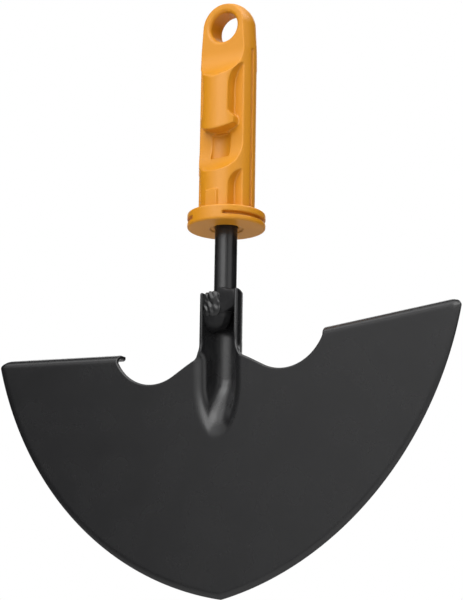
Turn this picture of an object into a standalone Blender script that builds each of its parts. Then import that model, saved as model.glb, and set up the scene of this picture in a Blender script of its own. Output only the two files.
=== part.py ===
"""Quick-fit lawn edging head: a pressed half-moon blade with folded foot treads and a
channel neck, a round tang welded into the neck, and a moulded plug with a hanging eye
that clicks into the end of a tool handle.

Units are metres. The origin is on the plug's axis, on the collar face that the handle
tube seats on. +Z points up the handle, the front of the blade faces -Y, and the tool is
the same on its left (-X) and its right (+X)."""

import math

import bmesh
import bpy
from mathutils import Vector

MM = 0.001

# Fit
GAP = 0.3 * MM                      # air between pieces that touch on the real tool

# Tang
TANG_DIAMETER = 10.0 * MM
TANG_TOP = 23.0 * MM                # top of the tang inside the plug, above the seat
TANG_BOTTOM_DROP = 10.3 * MM        # lower end of the tang, below the neck's top
TANG_CHAMFER = 0.8 * MM

# Plug
PLUG_DIAMETER = 25.2 * MM
EYE_RISE = 86.7 * MM                # centre of the hanging eye, above the seat
EYE_RADIUS = 11.9 * MM              # outer radius of the eye, a little under the shank's
EYE_BORE = 13.8 * MM
EYE_THICKNESS = 11.0 * MM
EYE_LIP_RADIUS = 1.8 * MM           # rounding where the bore opens on each flat
SCOOP_RADIUS = 18.0 * MM            # run-out of each flat into the round shank
SCOOP_START = 75.2 * MM
SPINE_WIDTH = 13.0 * MM             # key that stands between the two cored recesses
RECESS_FLOOR = 5.3 * MM             # depth plane of the recesses, measured from the axis
RECESS_COVE = 2.4 * MM
RECESS_TOP = 55.2 * MM              # where the upper recess starts to flare outwards
FLARE_REACH = 5.0 * MM
FLARE_HEIGHT = 12.5 * MM
LOWER_SPINE_WIDTH = 14.2 * MM
LOWER_RECESS_TOP = 9.8 * MM
LOWER_FLARE_HEIGHT = 8.5 * MM
WING_WIDTH = 17.4 * MM              # foot of the spine, wider than the spine itself
WING_TOP = 41.9 * MM
WING_SLOPE = 2.6 * MM
LIP_RISE = 36.4 * MM                # middle of the catch face at the foot of the spine
LIP_ARCH = 15.5 * MM                # the catch face arches up to both sides at this radius
POCKET_RAMP_START = 31.4 * MM
POCKET_RAMP_RADIUS = 18.0 * MM
SLOT_WIDTH = 9.4 * MM               # hollow in the pocket floor for the handle's catch
SLOT_DEPTH = 1.9 * MM
SLOT_BOTTOM = 24.6 * MM
SIDE_GROOVE_WIDTH = 1.6 * MM
SIDE_GROOVE_DEPTH = 1.0 * MM
SIDE_GROOVE_TOP = 75.5 * MM
KEY_WIDTH = 6.2 * MM                # small locating key on the front, above the collar
KEY_HEIGHT = 8.2 * MM
KEY_PROUD = 0.6 * MM
COLLAR_DIAMETER = 34.6 * MM
COLLAR_THICKNESS = 6.9 * MM
COLLAR_ROUNDING = 0.9 * MM
RIM_GROOVE_HEIGHT = 1.5 * MM
RIM_GROOVE_DEPTH = 2.2 * MM
RIM_GROOVE_DROP = 3.1 * MM          # upper side of the rim groove, below the seat
RIM_BRIDGE_ANGLE = math.radians(27)
RECESS_ROUND_TANG = 14.7 * MM       # shallow round recess where the tang enters
RECESS_ROUND_TANG_DEPTH = 0.8 * MM
BORE_SPARE = 0.5 * MM               # air above the tang's top

# Blade outline. Heights called RISE are above the blade's tip.
TIP_DROP = 170.5 * MM               # tip of the blade, below the seat
SHEET = 1.8 * MM
EDGE_RADIUS = 151.6 * MM            # both cutting arcs
EDGE_CENTRE_SHIFT = 28.55 * MM      # each arc is struck from across the centre line
EDGE_THICKNESS = 0.9 * MM
EDGE_BEVEL = 2.4 * MM
FLAT_MARGIN = 1.2 * MM              # extra row of facets that keeps the flat of the blade flat
TIP_BACK = 1.0 * MM                 # back face of the blade at its tip, behind the axis
BLADE_LEAN = math.radians(2.76)     # the blade leans forward as it rises
SHOULDER_RISE = 108.5 * MM          # tread line carried in to the centre line
SHOULDER_SLOPE = math.radians(4.08)
NOTCH_RADIUS = 21.6 * MM
NOTCH_CENTRE_X = 33.6 * MM
NOTCH_CENTRE_RISE = 118.1 * MM
NOTCH_FLANK = math.radians(28)      # straight run from the notch arc up to the neck
NECK_FILLET = 3.0 * MM
TREAD_DEPTH = 9.0 * MM              # front of the blade to the tread's back edge
TREAD_BEND = 4.0 * MM               # outer radius of the folded tread
TREAD_CORNER = 2.5 * MM
TREAD_TRIM = 0.75                   # how far the flange's outer end draws in per unit of depth

# Neck channel and the groove that it runs out into
NECK_TOP_RISE = 134.8 * MM
NECK_HALF_GIRTH = 17.7 * MM         # half of the strip that is rolled into the channel
NECK_BOTTOM_RADIUS = 7.95 * MM
NECK_CORNER = 0.9 * MM
NECK_TOP_FALL = 1.2 * MM            # the neck's top edge drops this much behind its front edges
NECK_TOP_FALL_RUN = 6.0 * MM
NECK_BLEND = 9.0 * MM               # height over which the flat blade turns into the channel
FORMED_HALF_WIDTH = 16.0 * MM       # half of the middle strip that the press tool forms
GROOVE_HALF_WIDTH = 12.4 * MM
GROOVE_SHOULDER_RADIUS = 4.0 * MM
GROOVE_TIP_SOFTNESS = 7.0 * MM      # how much larger the shoulder's radius is at the tip
GROOVE_TIP_RISE = 68.8 * MM
GROOVE_FULL_RISE = 94.0 * MM        # full width from here up
GROOVE_DEEP_RISE = 97.2 * MM        # full depth from here up

# Welds
WELD_ROOT_ANGLE = math.radians(104)
LEFT_WELD_DROP = (10.1 * MM, 0.8 * MM)      # foot and top of the weld, below the neck's top
RIGHT_WELD_DROP = (9.6 * MM, -0.5 * MM)
WELD_RIPPLE = 1.5 * MM
WELD_RIPPLE_HEIGHT = 0.28 * MM
TOE_LENGTH = 6.9 * MM
TOE_LEFT_RUN = -17.1 * MM
TOE_RIGHT_RUN = -2.0 * MM
TOE_CREST = ((0.6, 1.6), (1.5, -0.4), (1.2, -2.2), (-0.4, -3.6), (-2.6, -4.4), (-5.4, -4.9))

# Fineness of the facets
ROUND_STEPS = 64
COVE_STEPS = 4
CORE_COLUMNS = 6                    # columns over the bottom of the groove and channel
SHOULDER_COLUMNS = 13               # closer columns where the sheet bends most
OUTER_COLUMNS = 2
GROOVE_ROWS = 16
SECTION_STEPS = 96

PLUG_ORANGE = (0.78, 0.31, 0.045, 1.0)
BLADE_BLACK = (0.035, 0.035, 0.038, 1.0)
WELD_BLACK = (0.05, 0.05, 0.052, 1.0)

TANG_RADIUS = TANG_DIAMETER / 2
TANG_BOTTOM_RISE = NECK_TOP_RISE - TANG_BOTTOM_DROP
PLUG_RADIUS = PLUG_DIAMETER / 2
COLLAR_RADIUS = COLLAR_DIAMETER / 2
CHANNEL_BACK = TANG_RADIUS + GAP + SHEET
EDGE_CENTRE_RISE = math.sqrt(EDGE_RADIUS ** 2 - EDGE_CENTRE_SHIFT ** 2)


def clear_scene():
    for item in list(bpy.data.objects):
        bpy.data.objects.remove(item)


def material(name, colour, metallic, roughness):
    made = bpy.data.materials.new(name)
    made.use_nodes = True
    shader = made.node_tree.nodes["Principled BSDF"]
    shader.inputs["Base Color"].default_value = colour
    shader.inputs["Metallic"].default_value = metallic
    shader.inputs["Roughness"].default_value = roughness
    made.diffuse_color = colour
    return made


def add_object(name, bm, sharp=math.radians(30)):
    """Turns a bmesh into an object with outward faces and smooth round stretches."""
    bmesh.ops.recalc_face_normals(bm, faces=bm.faces)
    mesh = bpy.data.meshes.new(name)
    bm.to_mesh(mesh)
    bm.free()
    mesh.shade_smooth()
    mesh.set_sharp_from_angle(angle=sharp)
    made = bpy.data.objects.new(name, mesh)
    bpy.context.collection.objects.link(made)
    return made


def smooth_by_angle(made, angle):
    """Last modifier of a shaped piece: sharp edges where its faces meet at more than angle."""
    group = bpy.data.node_groups.new("smooth by angle", "GeometryNodeTree")
    group.interface.new_socket("Mesh", in_out="INPUT", socket_type="NodeSocketGeometry")
    group.interface.new_socket("Mesh", in_out="OUTPUT", socket_type="NodeSocketGeometry")
    start = group.nodes.new("NodeGroupInput")
    end = group.nodes.new("NodeGroupOutput")
    between = group.nodes.new("GeometryNodeInputMeshEdgeAngle")
    compare = group.nodes.new("FunctionNodeCompare")
    compare.operation = "LESS_THAN"
    compare.inputs[1].default_value = angle
    faces = group.nodes.new("GeometryNodeSetShadeSmooth")
    edges = group.nodes.new("GeometryNodeSetShadeSmooth")
    edges.domain = "EDGE"
    group.links.new(between.outputs["Unsigned Angle"], compare.inputs[0])
    group.links.new(start.outputs[0], faces.inputs["Geometry"])
    group.links.new(faces.outputs["Geometry"], edges.inputs["Geometry"])
    group.links.new(compare.outputs["Result"], edges.inputs["Shade Smooth"])
    group.links.new(edges.outputs["Geometry"], end.inputs[0])
    step = made.modifiers.new("smooth by angle", "NODES")
    step.node_group = group


def smooth(value):
    """Eases from 0 to 1 with level ends."""
    value = min(max(value, 0.0), 1.0)
    return value * value * (3 - 2 * value)


def arc_points(centre, radius, start, end, steps):
    """Points of an arc in a plane, ends included. Angles are in radians."""
    points = []
    for step in range(steps + 1):
        angle = start + (end - start) * step / steps
        points.append((centre[0] + radius * math.cos(angle), centre[1] + radius * math.sin(angle)))
    return points


def turned(profile, start=0.0, sweep=2 * math.pi, steps=ROUND_STEPS):
    """Turns a closed (radius, height) outline about Z, as a whole ring or a part of one."""
    bm = bmesh.new()
    corners = []
    for radius, height in profile:
        place = Vector((radius * math.sin(start), -radius * math.cos(start), height))
        corners.append(bm.verts.new(place))
    face = bm.faces.new(corners)
    whole = abs(sweep - 2 * math.pi) < 1e-9
    edges = list(face.edges)
    if whole:
        bmesh.ops.delete(bm, geom=[face], context="FACES_ONLY")
        bmesh.ops.spin(bm, geom=corners + edges, cent=(0, 0, 0), axis=(0, 0, 1),
                       angle=sweep, steps=steps, use_merge=True)
    else:
        bmesh.ops.spin(bm, geom=[face] + corners + edges, cent=(0, 0, 0), axis=(0, 0, 1),
                       angle=sweep, steps=steps)
    bmesh.ops.remove_doubles(bm, verts=bm.verts, dist=1e-7)
    loose = [edge for edge in bm.edges if not edge.link_faces]
    bmesh.ops.delete(bm, geom=loose, context="EDGES")
    return bm


def prism(outline, place, reach):
    """Extrudes an outline: place maps one of its points to 3-D, reach is the extrusion."""
    bm = bmesh.new()
    face = bm.faces.new([bm.verts.new(place(point)) for point in outline])
    grown = bmesh.ops.extrude_face_region(bm, geom=[face])
    moved = [item for item in grown["geom"] if isinstance(item, bmesh.types.BMVert)]
    bmesh.ops.translate(bm, verts=moved, vec=reach)
    return bm


def loft(stations):
    """Skins closed loops of equal length and caps the two ends."""
    bm = bmesh.new()
    rings = [[bm.verts.new(point) for point in station] for station in stations]
    count = len(rings[0])
    for low, high in zip(rings, rings[1:]):
        for index in range(count):
            after = (index + 1) % count
            bm.faces.new((low[index], low[after], high[after], high[index]))
    bm.faces.new(rings[0])
    bm.faces.new(rings[-1])
    return bm


def boolean(target, tool, operation):
    """Cuts or joins with a tool body that stays in the file as a wire guide."""
    tool.hide_render = True
    tool.display_type = "WIRE"
    step = target.modifiers.new(tool.name, "BOOLEAN")
    step.operation = operation
    step.object = tool
    step.solver = "EXACT"


def edge_rise(x, inset=0.0):
    """Height of the cutting arc at x, or of a line ground inset from it."""
    reach = EDGE_RADIUS - inset
    return EDGE_CENTRE_RISE - math.sqrt(reach ** 2 - (abs(x) + EDGE_CENTRE_SHIFT) ** 2)


def shoulder_rise(x):
    return SHOULDER_RISE + x * math.tan(SHOULDER_SLOPE)


def flank_rise(x):
    """Straight run of the notch between its arc and the neck."""
    foot_x = NOTCH_CENTRE_X - NOTCH_RADIUS * math.sin(NOTCH_FLANK)
    foot_rise = NOTCH_CENTRE_RISE - NOTCH_RADIUS * math.cos(NOTCH_FLANK)
    return foot_rise + (foot_x - x) * math.tan(NOTCH_FLANK)


JOIN_RISE = flank_rise(FORMED_HALF_WIDTH)


def blade_back(rise):
    """Y of the flat blade's back skin at a height above the tip."""
    return TIP_BACK - rise * math.tan(BLADE_LEAN)


def groove_form(rise):
    """Steepest wall angle, bottom radius and shoulder radius of the groove's section. The
    groove is an ellipse in plan below its full width, and deepens smoothly from its tip."""
    length = rise - GROOVE_TIP_RISE
    if length <= 0:
        return 0.0, 1.0, 1.0
    share = min(length / (GROOVE_FULL_RISE - GROOVE_TIP_RISE), 1.0)
    deepened = smooth(length / (GROOVE_DEEP_RISE - GROOVE_TIP_RISE))
    depth = (CHANNEL_BACK - blade_back(rise)) * deepened
    width = GROOVE_HALF_WIDTH * math.sqrt(1 - (1 - share) ** 2)
    turn = 2 * math.atan(depth / width)
    shoulder = GROOVE_SHOULDER_RADIUS + GROOVE_TIP_SOFTNESS * (1 - share) ** 2
    return turn, width / math.sin(turn) - shoulder, shoulder


def groove_slope(run, turn, bottom, shoulder):
    """Wall angle of the groove's section at a distance along the skin."""
    if run < bottom * turn:
        return run / bottom
    return max(turn - (run - bottom * turn) / shoulder, 0.0)


def neck_slope(run):
    """Wall angle of the neck's section: round below, nearly straight at its edges."""
    start = run / NECK_BOTTOM_RADIUS
    spare = NECK_HALF_GIRTH / NECK_BOTTOM_RADIUS - math.pi / 2
    return min(start - spare * (run / NECK_HALF_GIRTH) ** 2, math.pi / 2)


def half_girth(rise):
    """Length of half a section of the formed strip, along the back skin."""
    if rise <= JOIN_RISE:
        turn, bottom, shoulder = groove_form(rise)
        return FORMED_HALF_WIDTH + (bottom + shoulder) * (turn - math.sin(turn))
    start = half_girth(JOIN_RISE)
    lean = math.pi / 2 - NOTCH_FLANK
    setback = NECK_FILLET * math.tan(lean / 2)
    corner = JOIN_RISE + (start - NECK_HALF_GIRTH) * math.tan(NOTCH_FLANK)
    if rise >= corner + setback:
        return NECK_HALF_GIRTH
    if rise <= corner - setback * math.sin(NOTCH_FLANK):
        return start - (rise - JOIN_RISE) / math.tan(NOTCH_FLANK)
    drop = corner + setback - rise
    return NECK_HALF_GIRTH + NECK_FILLET - math.sqrt(NECK_FILLET ** 2 - drop ** 2)


def section(rise):
    """Points along half a section of the back skin, from the middle outwards."""
    length = half_girth(rise)
    closed = min(max((rise - JOIN_RISE) / NECK_BLEND, 0.0), 1.0)
    open_share = 1 - closed ** 3 * (10 - 15 * closed + 6 * closed ** 2)
    turn, bottom, shoulder = groove_form(rise)
    points = [(0.0, blade_back(rise) + (bottom + shoulder) * (1 - math.cos(turn)))]
    step = length / SECTION_STEPS
    for index in range(SECTION_STEPS):
        run = (index + 0.5) * step
        slope = open_share * groove_slope(run, turn, bottom, shoulder) + (1 - open_share) * neck_slope(run)
        x, y = points[-1]
        points.append((x + math.cos(slope) * step, y - math.sin(slope) * step))
    if rise <= JOIN_RISE:
        spare_x = FORMED_HALF_WIDTH - points[-1][0]
        spare_y = blade_back(rise) - points[-1][1]
        last = SECTION_STEPS
        points = [(x + spare_x * index / last, y + spare_y * index / last)
                  for index, (x, y) in enumerate(points)]
    return points


def skin_point(points, share):
    """Point at a share of the section's length, between two of its stored points."""
    place = share * SECTION_STEPS
    index = min(int(place), SECTION_STEPS - 1)
    part = place - index
    low, high = points[index], points[index + 1]
    return low[0] + (high[0] - low[0]) * part, low[1] + (high[1] - low[1]) * part


def wall_point(run, inset):
    """Point of the straight neck's section, moved inwards from its back skin."""
    x, y, slope = 0.0, CHANNEL_BACK, 0.0
    step = run / SECTION_STEPS
    for index in range(SECTION_STEPS):
        slope = neck_slope((index + 0.5) * step)
        x += math.cos(slope) * step
        y -= math.sin(slope) * step
    slope = neck_slope(run)
    return x - inset * math.sin(slope), y - inset * math.cos(slope)


def formed_shares():
    """Where the formed strip's columns stand, as shares of the half section's length."""
    shares = [0.46 * step / CORE_COLUMNS for step in range(CORE_COLUMNS)]
    shares += [0.46 + 0.42 * step / SHOULDER_COLUMNS for step in range(SHOULDER_COLUMNS)]
    shares += [0.88 + 0.12 * step / OUTER_COLUMNS for step in range(OUTER_COLUMNS + 1)]
    return shares


def formed_rows():
    """Heights of the rows of the formed strip: flat blade, groove, blend and neck."""
    rows = [GROOVE_TIP_RISE * 0.5]
    last = JOIN_RISE - FLAT_MARGIN
    for step in range(GROOVE_ROWS + 1):
        share = (step / GROOVE_ROWS) ** 1.4
        rows.append(GROOVE_TIP_RISE + (last - GROOVE_TIP_RISE) * share)
    rows.append(JOIN_RISE)
    upper = []
    blend_steps = 8
    for step in range(1, blend_steps + 1):
        upper.append(JOIN_RISE + NECK_BLEND * step / blend_steps)
    upper.append((JOIN_RISE + NECK_BLEND + NECK_TOP_RISE) / 2)
    upper.append(NECK_TOP_RISE - NECK_TOP_FALL - NECK_CORNER)
    upper.append(NECK_TOP_RISE)
    return rows, upper


def tread_inner_x():
    """Where the notch's arc meets the tread."""
    x = NOTCH_CENTRE_X + NOTCH_RADIUS
    for _ in range(20):
        drop = NOTCH_CENTRE_RISE - (shoulder_rise(x) - TREAD_BEND)
        x = NOTCH_CENTRE_X + math.sqrt(NOTCH_RADIUS ** 2 - drop ** 2)
    return x


def tread_outer_x(inset=0.0):
    """Where the cutting arc, or a line ground inset from it, meets the tread's bend."""
    x = EDGE_RADIUS - EDGE_CENTRE_SHIFT
    for _ in range(20):
        drop = EDGE_CENTRE_RISE - (shoulder_rise(x) - TREAD_BEND)
        x = math.sqrt((EDGE_RADIUS - inset) ** 2 - drop ** 2) - EDGE_CENTRE_SHIFT
    return x


def notch_and_tread():
    """Top ends of the blade's side columns: round the notch, then along the tread's bend."""
    inner = tread_inner_x()
    drop = NOTCH_CENTRE_RISE - (shoulder_rise(inner) - TREAD_BEND)
    start = -math.pi / 2 - NOTCH_FLANK
    end = math.atan2(-drop, inner - NOTCH_CENTRE_X)
    centre = (NOTCH_CENTRE_X, NOTCH_CENTRE_RISE)
    notch = arc_points(centre, NOTCH_RADIUS, start, end, 14)[:-1]
    outer = tread_outer_x(EDGE_BEVEL)
    steps = 9
    tread = []
    for step in range(steps + 1):
        x = inner + (outer - inner) * step / steps
        tread.append((x, shoulder_rise(x) - TREAD_BEND))
    return notch, tread


def edge_point(angle, inset):
    """Point on the cutting arc, or inset from it, at an angle round the arc's centre."""
    x = (EDGE_RADIUS - inset) * math.sin(angle) - EDGE_CENTRE_SHIFT
    return x, EDGE_CENTRE_RISE - (EDGE_RADIUS - inset) * math.cos(angle)


def formed_columns(vertex, thin):
    """Columns of the pressed middle strip, from the cutting edge to the neck's top."""
    rows, upper = formed_rows()
    sections = [section(rise) for rise in rows + upper]
    columns = []
    for share in formed_shares():
        x = share * FORMED_HALF_WIDTH
        line = [vertex(x, edge_rise(x, inset)) for inset in (0.0, EDGE_BEVEL)]
        thin.append(line[0])
        line.append(vertex(x, edge_rise(x, EDGE_BEVEL + FLAT_MARGIN)))
        for rise, points in zip(rows + upper, sections):
            across, back = skin_point(points, share)
            along = (1 - share) * half_girth(rise)
            short = 0.0
            if rise == NECK_TOP_RISE:
                ease = max(NECK_CORNER - along, 0.0)
                short = NECK_CORNER - math.sqrt(NECK_CORNER ** 2 - ease ** 2)
                short += NECK_TOP_FALL * smooth(along / NECK_TOP_FALL_RUN)
            line.append(vertex(across, rise - short, back))
        columns.append(line)
    return columns, 3 + len(rows)


def side_columns(vertex, thin, notch, tread):
    """Flat columns that fan from the cutting arc up to the notch and the tread."""
    start = math.asin((FORMED_HALF_WIDTH + EDGE_CENTRE_SHIFT) / EDGE_RADIUS)
    outer = tread_outer_x(EDGE_BEVEL)
    last = math.asin((outer + EDGE_CENTRE_SHIFT) / (EDGE_RADIUS - EDGE_BEVEL))
    tops = notch + tread
    columns = []
    for index, (top_x, top_rise) in enumerate(tops[:-1]):
        angle = start + (last - start) * (index + 1) / len(tops)
        line = [vertex(*edge_point(angle, inset)) for inset in (0.0, EDGE_BEVEL)]
        thin.append(line[0])
        foot_x, foot_rise = edge_point(angle, EDGE_BEVEL + FLAT_MARGIN)
        line.append(vertex(foot_x, foot_rise))
        part = 1 - FLAT_MARGIN / math.hypot(top_x - foot_x, top_rise - foot_rise)
        line.append(vertex(foot_x + (top_x - foot_x) * part,
                           foot_rise + (top_rise - foot_rise) * part))
        line.append(vertex(top_x, top_rise))
        columns.append(line)
    corner = vertex(*tops[-1])
    return columns, corner


def fold_tread(bm, vertex, first, tread):
    """Bends the sheet back over the tread. The flange's inner corner is rounded and its
    outer end is drawn in, so that it never shows past the blade's own corner."""
    inner_bend = TREAD_BEND - SHEET
    inner, outer = tread[0][0], tread[-1][0]
    rings = [first]
    places = []
    bend_steps = 5
    for step in range(1, bend_steps + 1):
        angle = math.pi / 2 * step / bend_steps
        places.append((inner_bend * (1 - math.cos(angle)), inner_bend * math.sin(angle), 0.0))
    flat = TREAD_DEPTH - TREAD_BEND
    places += [(inner_bend + flat / 2, inner_bend, 0.5), (inner_bend + flat, inner_bend, 1.0)]
    for back, up, share in places:
        shrink = 1 - TREAD_TRIM * back / (outer - inner)
        ring = []
        for x, _ in tread:
            near = (x - inner) / TREAD_CORNER
            short = TREAD_CORNER * (1 - smooth(near)) * share
            across = inner + (x - inner) * shrink
            rise = shoulder_rise(across) - TREAD_BEND
            ring.append(vertex(across, rise + up, blade_back(rise) + back - short))
        rings.append(ring)
    for low, high in zip(rings, rings[1:]):
        for index in range(len(low) - 1):
            bm.faces.new((low[index], high[index], high[index + 1], low[index + 1]))


def blade_blank():
    """Half of the pressing's back skin, x >= 0, as one sheet of faces."""
    bm = bmesh.new()
    thin = []

    def vertex(x, rise, y=None):
        y = blade_back(rise) if y is None else y
        return bm.verts.new((x, y, rise - TIP_DROP))

    formed, joined = formed_columns(vertex, thin)
    for left, right in zip(formed, formed[1:]):
        for row in range(len(left) - 1):
            bm.faces.new((left[row], left[row + 1], right[row + 1], right[row]))

    notch, tread = notch_and_tread()
    sides, corner = side_columns(vertex, thin, notch, tread)
    before, first = formed[-1][:joined], sides[0]
    for row in range(2):
        bm.faces.new((before[row], before[row + 1], first[row + 1], first[row]))
    bm.faces.new(before[2:-1] + first[3:1:-1])
    bm.faces.new((before[-2], before[-1], first[4], first[3]))
    for left, right in zip(sides, sides[1:]):
        for row in range(4):
            bm.faces.new((left[row], left[row + 1], right[row + 1], right[row]))
    x = tread_outer_x()
    edge = vertex(x, shoulder_rise(x) - TREAD_BEND)
    thin.append(edge)
    final = sides[-1]
    bm.faces.new((final[0], final[1], corner, edge))
    bm.faces.new((final[1], final[2], corner))
    bm.faces.new((final[2], final[3], corner))
    bm.faces.new((final[3], final[4], corner))

    tread.append((x, shoulder_rise(x) - TREAD_BEND))
    ring = [line[-1] for line in sides[len(notch):]] + [corner, edge]
    fold_tread(bm, vertex, ring, tread)
    bmesh.ops.recalc_face_normals(bm, faces=bm.faces)
    bm.faces.ensure_lookup_table()
    if bm.faces[0].normal.y < 0:
        bmesh.ops.reverse_faces(bm, faces=bm.faces)
    bm.verts.index_update()
    return bm, [item.index for item in thin]


def make_blade(paint):
    """Pressed blade, treads, groove and channel neck in one piece of sheet."""
    bm, thin = blade_blank()
    mesh = bpy.data.meshes.new("blade")
    bm.to_mesh(mesh)
    bm.free()
    blade = bpy.data.objects.new("blade", mesh)
    bpy.context.collection.objects.link(blade)
    full = blade.vertex_groups.new(name="full_thickness")
    full.add([index for index in range(len(mesh.vertices)) if index not in set(thin)], 1.0, "ADD")
    mirror = blade.modifiers.new("other half", "MIRROR")
    mirror.use_axis = (True, False, False)
    mirror.merge_threshold = 0.00001
    sheet = blade.modifiers.new("sheet", "SOLIDIFY")
    sheet.thickness = SHEET
    sheet.offset = -1.0
    sheet.use_even_offset = True
    sheet.vertex_group = full.name
    sheet.thickness_vertex_group = EDGE_THICKNESS / SHEET
    smooth_by_angle(blade, math.radians(33))
    mesh.materials.append(paint)
    return blade


def make_tang(paint):
    """Round bar from the channel neck up into the plug."""
    low = TANG_BOTTOM_RISE - TIP_DROP
    ease = TANG_RADIUS - TANG_CHAMFER
    profile = [(0, low), (ease, low), (TANG_RADIUS, low + TANG_CHAMFER),
               (TANG_RADIUS, TANG_TOP - TANG_CHAMFER), (ease, TANG_TOP), (0, TANG_TOP)]
    tang = add_object("tang", turned(profile, steps=48))
    tang.data.materials.append(paint)
    return tang


def rod_point(angle, inset=0.0):
    reach = TANG_RADIUS + GAP + inset
    return reach * math.sin(angle), -reach * math.cos(angle)


def make_side_weld(name, side, wall_reach, rod_angle, crown, drops, paint):
    """Rippled bead in the corner between the tang and one wall of the channel."""
    inset = SHEET + GAP
    low_rise, top_rise = NECK_TOP_RISE - drops[0], NECK_TOP_RISE - drops[1]
    root_run = 0.56 * NECK_HALF_GIRTH
    toe_run = NECK_HALF_GIRTH - wall_reach
    length = top_rise - low_rise
    count = 3 * round(length / WELD_RIPPLE)
    stations = []
    for index in range(count + 1):
        share = index / count
        fullness = 0.45 + 0.55 * math.sqrt(max(1 - abs(2 * share - 1) ** 3, 0.0))
        ripple = WELD_RIPPLE_HEIGHT * (1 - math.cos(2 * math.pi * index / 3)) / 1.5
        toe = root_run + (toe_run - root_run) * fullness
        turn = WELD_ROOT_ANGLE + (rod_angle - WELD_ROOT_ANGLE) * fullness
        wall = [wall_point(root_run + (toe - root_run) * step / 4, inset) for step in range(5)]
        rod = [rod_point(turn + (WELD_ROOT_ANGLE - turn) * step / 6) for step in range(7)]
        front = []
        for step in range(1, 4):
            part = step / 4
            bulge = (crown * fullness + ripple) * math.sin(math.pi * part)
            x = wall[-1][0] + (rod[0][0] - wall[-1][0]) * part
            y = wall[-1][1] + (rod[0][1] - wall[-1][1]) * part - bulge
            front.append((x, y))
        height = low_rise + length * share - TIP_DROP
        stations.append([(side * x, y, height) for x, y in wall + front + rod])
    weld = add_object(name, loft(stations), sharp=math.radians(60))
    weld.data.materials.append(paint)
    return weld


def make_toe_weld(paint):
    """Weld under the tang's lower end, heaped against the left wall and rounded off below."""
    inset = SHEET + GAP
    outline = []
    for step in range(11):
        run = TOE_LEFT_RUN + (TOE_RIGHT_RUN - TOE_LEFT_RUN) * step / 10
        x, y = wall_point(abs(run), inset)
        outline.append((math.copysign(x, run), y))
    outline += [(across * MM, back * MM) for across, back in TOE_CREST]
    anchor = outline[4]
    stations = []
    count = 8
    for index in range(count + 1):
        angle = math.pi / 2 * index / count
        fullness = max(math.cos(angle) ** 0.5, 0.15)
        height = TANG_BOTTOM_RISE - GAP - TOE_LENGTH * math.sin(angle) - TIP_DROP
        stations.append([(anchor[0] + (x - anchor[0]) * fullness,
                          anchor[1] + (y - anchor[1]) * fullness, height) for x, y in outline])
    weld = add_object("weld_toe", loft(stations), sharp=math.radians(60))
    weld.data.materials.append(paint)
    return weld


def plug_blank():
    """Turned form of the plug: collar, shank, ball end and the blind bore for the tang."""
    bore = TANG_RADIUS + GAP
    recess = RECESS_ROUND_TANG / 2
    under = -COLLAR_THICKNESS
    ease = COLLAR_ROUNDING
    profile = [(0, TANG_TOP + BORE_SPARE), (bore, TANG_TOP + BORE_SPARE),
               (bore, under + RECESS_ROUND_TANG_DEPTH), (recess, under + RECESS_ROUND_TANG_DEPTH),
               (recess, under)]
    profile += arc_points((COLLAR_RADIUS - ease, under + ease), ease, -math.pi / 2, 0, 3)
    profile += arc_points((COLLAR_RADIUS - ease, -ease), ease, 0, math.pi / 2, 3)
    profile += [(PLUG_RADIUS, 0), (PLUG_RADIUS, SCOOP_START)]
    profile += arc_points((0, EYE_RISE), EYE_RADIUS, 0, math.pi / 2, 14)
    return turned(profile)


def flat_cutter(side):
    """Takes one side of the ball end down to a flat that scoops out into the shank."""
    face = EYE_THICKNESS / 2
    far = 2 * PLUG_RADIUS
    rise = math.acos(1 - (PLUG_RADIUS - face) / SCOOP_RADIUS)
    outline = [(face, EYE_RISE + far)]
    for step in range(9):
        angle = rise * 1.08 * step / 8
        outline.append((face + SCOOP_RADIUS * (1 - math.cos(angle)),
                        SCOOP_START - SCOOP_RADIUS * math.sin(angle)))
    outline += [(far, outline[-1][1]), (far, EYE_RISE + far)]
    half = 1.3 * PLUG_RADIUS
    return prism(outline, lambda p: (-half, side * p[0], p[1]), (2 * half, 0, 0))


def pocket_cutter():
    """Lock pocket: an arched catch face above, a flat floor, and a ramp back to the shank."""
    far = 2 * PLUG_RADIUS
    sweep = math.acos(1 - (PLUG_RADIUS - RECESS_FLOOR) / POCKET_RAMP_RADIUS) * 1.06
    ramp = []
    for step in range(9):
        angle = sweep * step / 8
        ramp.append((-RECESS_FLOOR - POCKET_RAMP_RADIUS * (1 - math.cos(angle)),
                     POCKET_RAMP_START - POCKET_RAMP_RADIUS * math.sin(angle)))
    stations = []
    steps = 12
    for step in range(steps + 1):
        x = 1.05 * PLUG_RADIUS * (2 * step / steps - 1)
        lip = LIP_RISE + LIP_ARCH - math.sqrt(LIP_ARCH ** 2 - x ** 2)
        outline = [(-RECESS_FLOOR, lip)] + ramp + [(-far, ramp[-1][1]), (-far, lip)]
        stations.append([(x, y, height) for y, height in outline])
    return loft(stations)


def slot_cutter():
    """Hollow in the pocket floor, with upright sides and a rounded bottom."""
    half = SLOT_WIDTH / 2
    wall = 0.3 * MM
    hollow = SLOT_DEPTH - wall
    radius = (half ** 2 + hollow ** 2) / (2 * hollow)
    spread = math.asin(half / radius)
    base = -RECESS_FLOOR + wall
    centre = (0, base + hollow - radius)
    outline = arc_points(centre, radius, math.pi / 2 - spread, math.pi / 2 + spread, 10)
    outline += [(-half, -1.5 * PLUG_RADIUS), (half, -1.5 * PLUG_RADIUS)]
    top = LIP_RISE - GAP
    return prism(outline, lambda p: (p[0], p[1], SLOT_BOTTOM), (0, 0, top - SLOT_BOTTOM))


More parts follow.
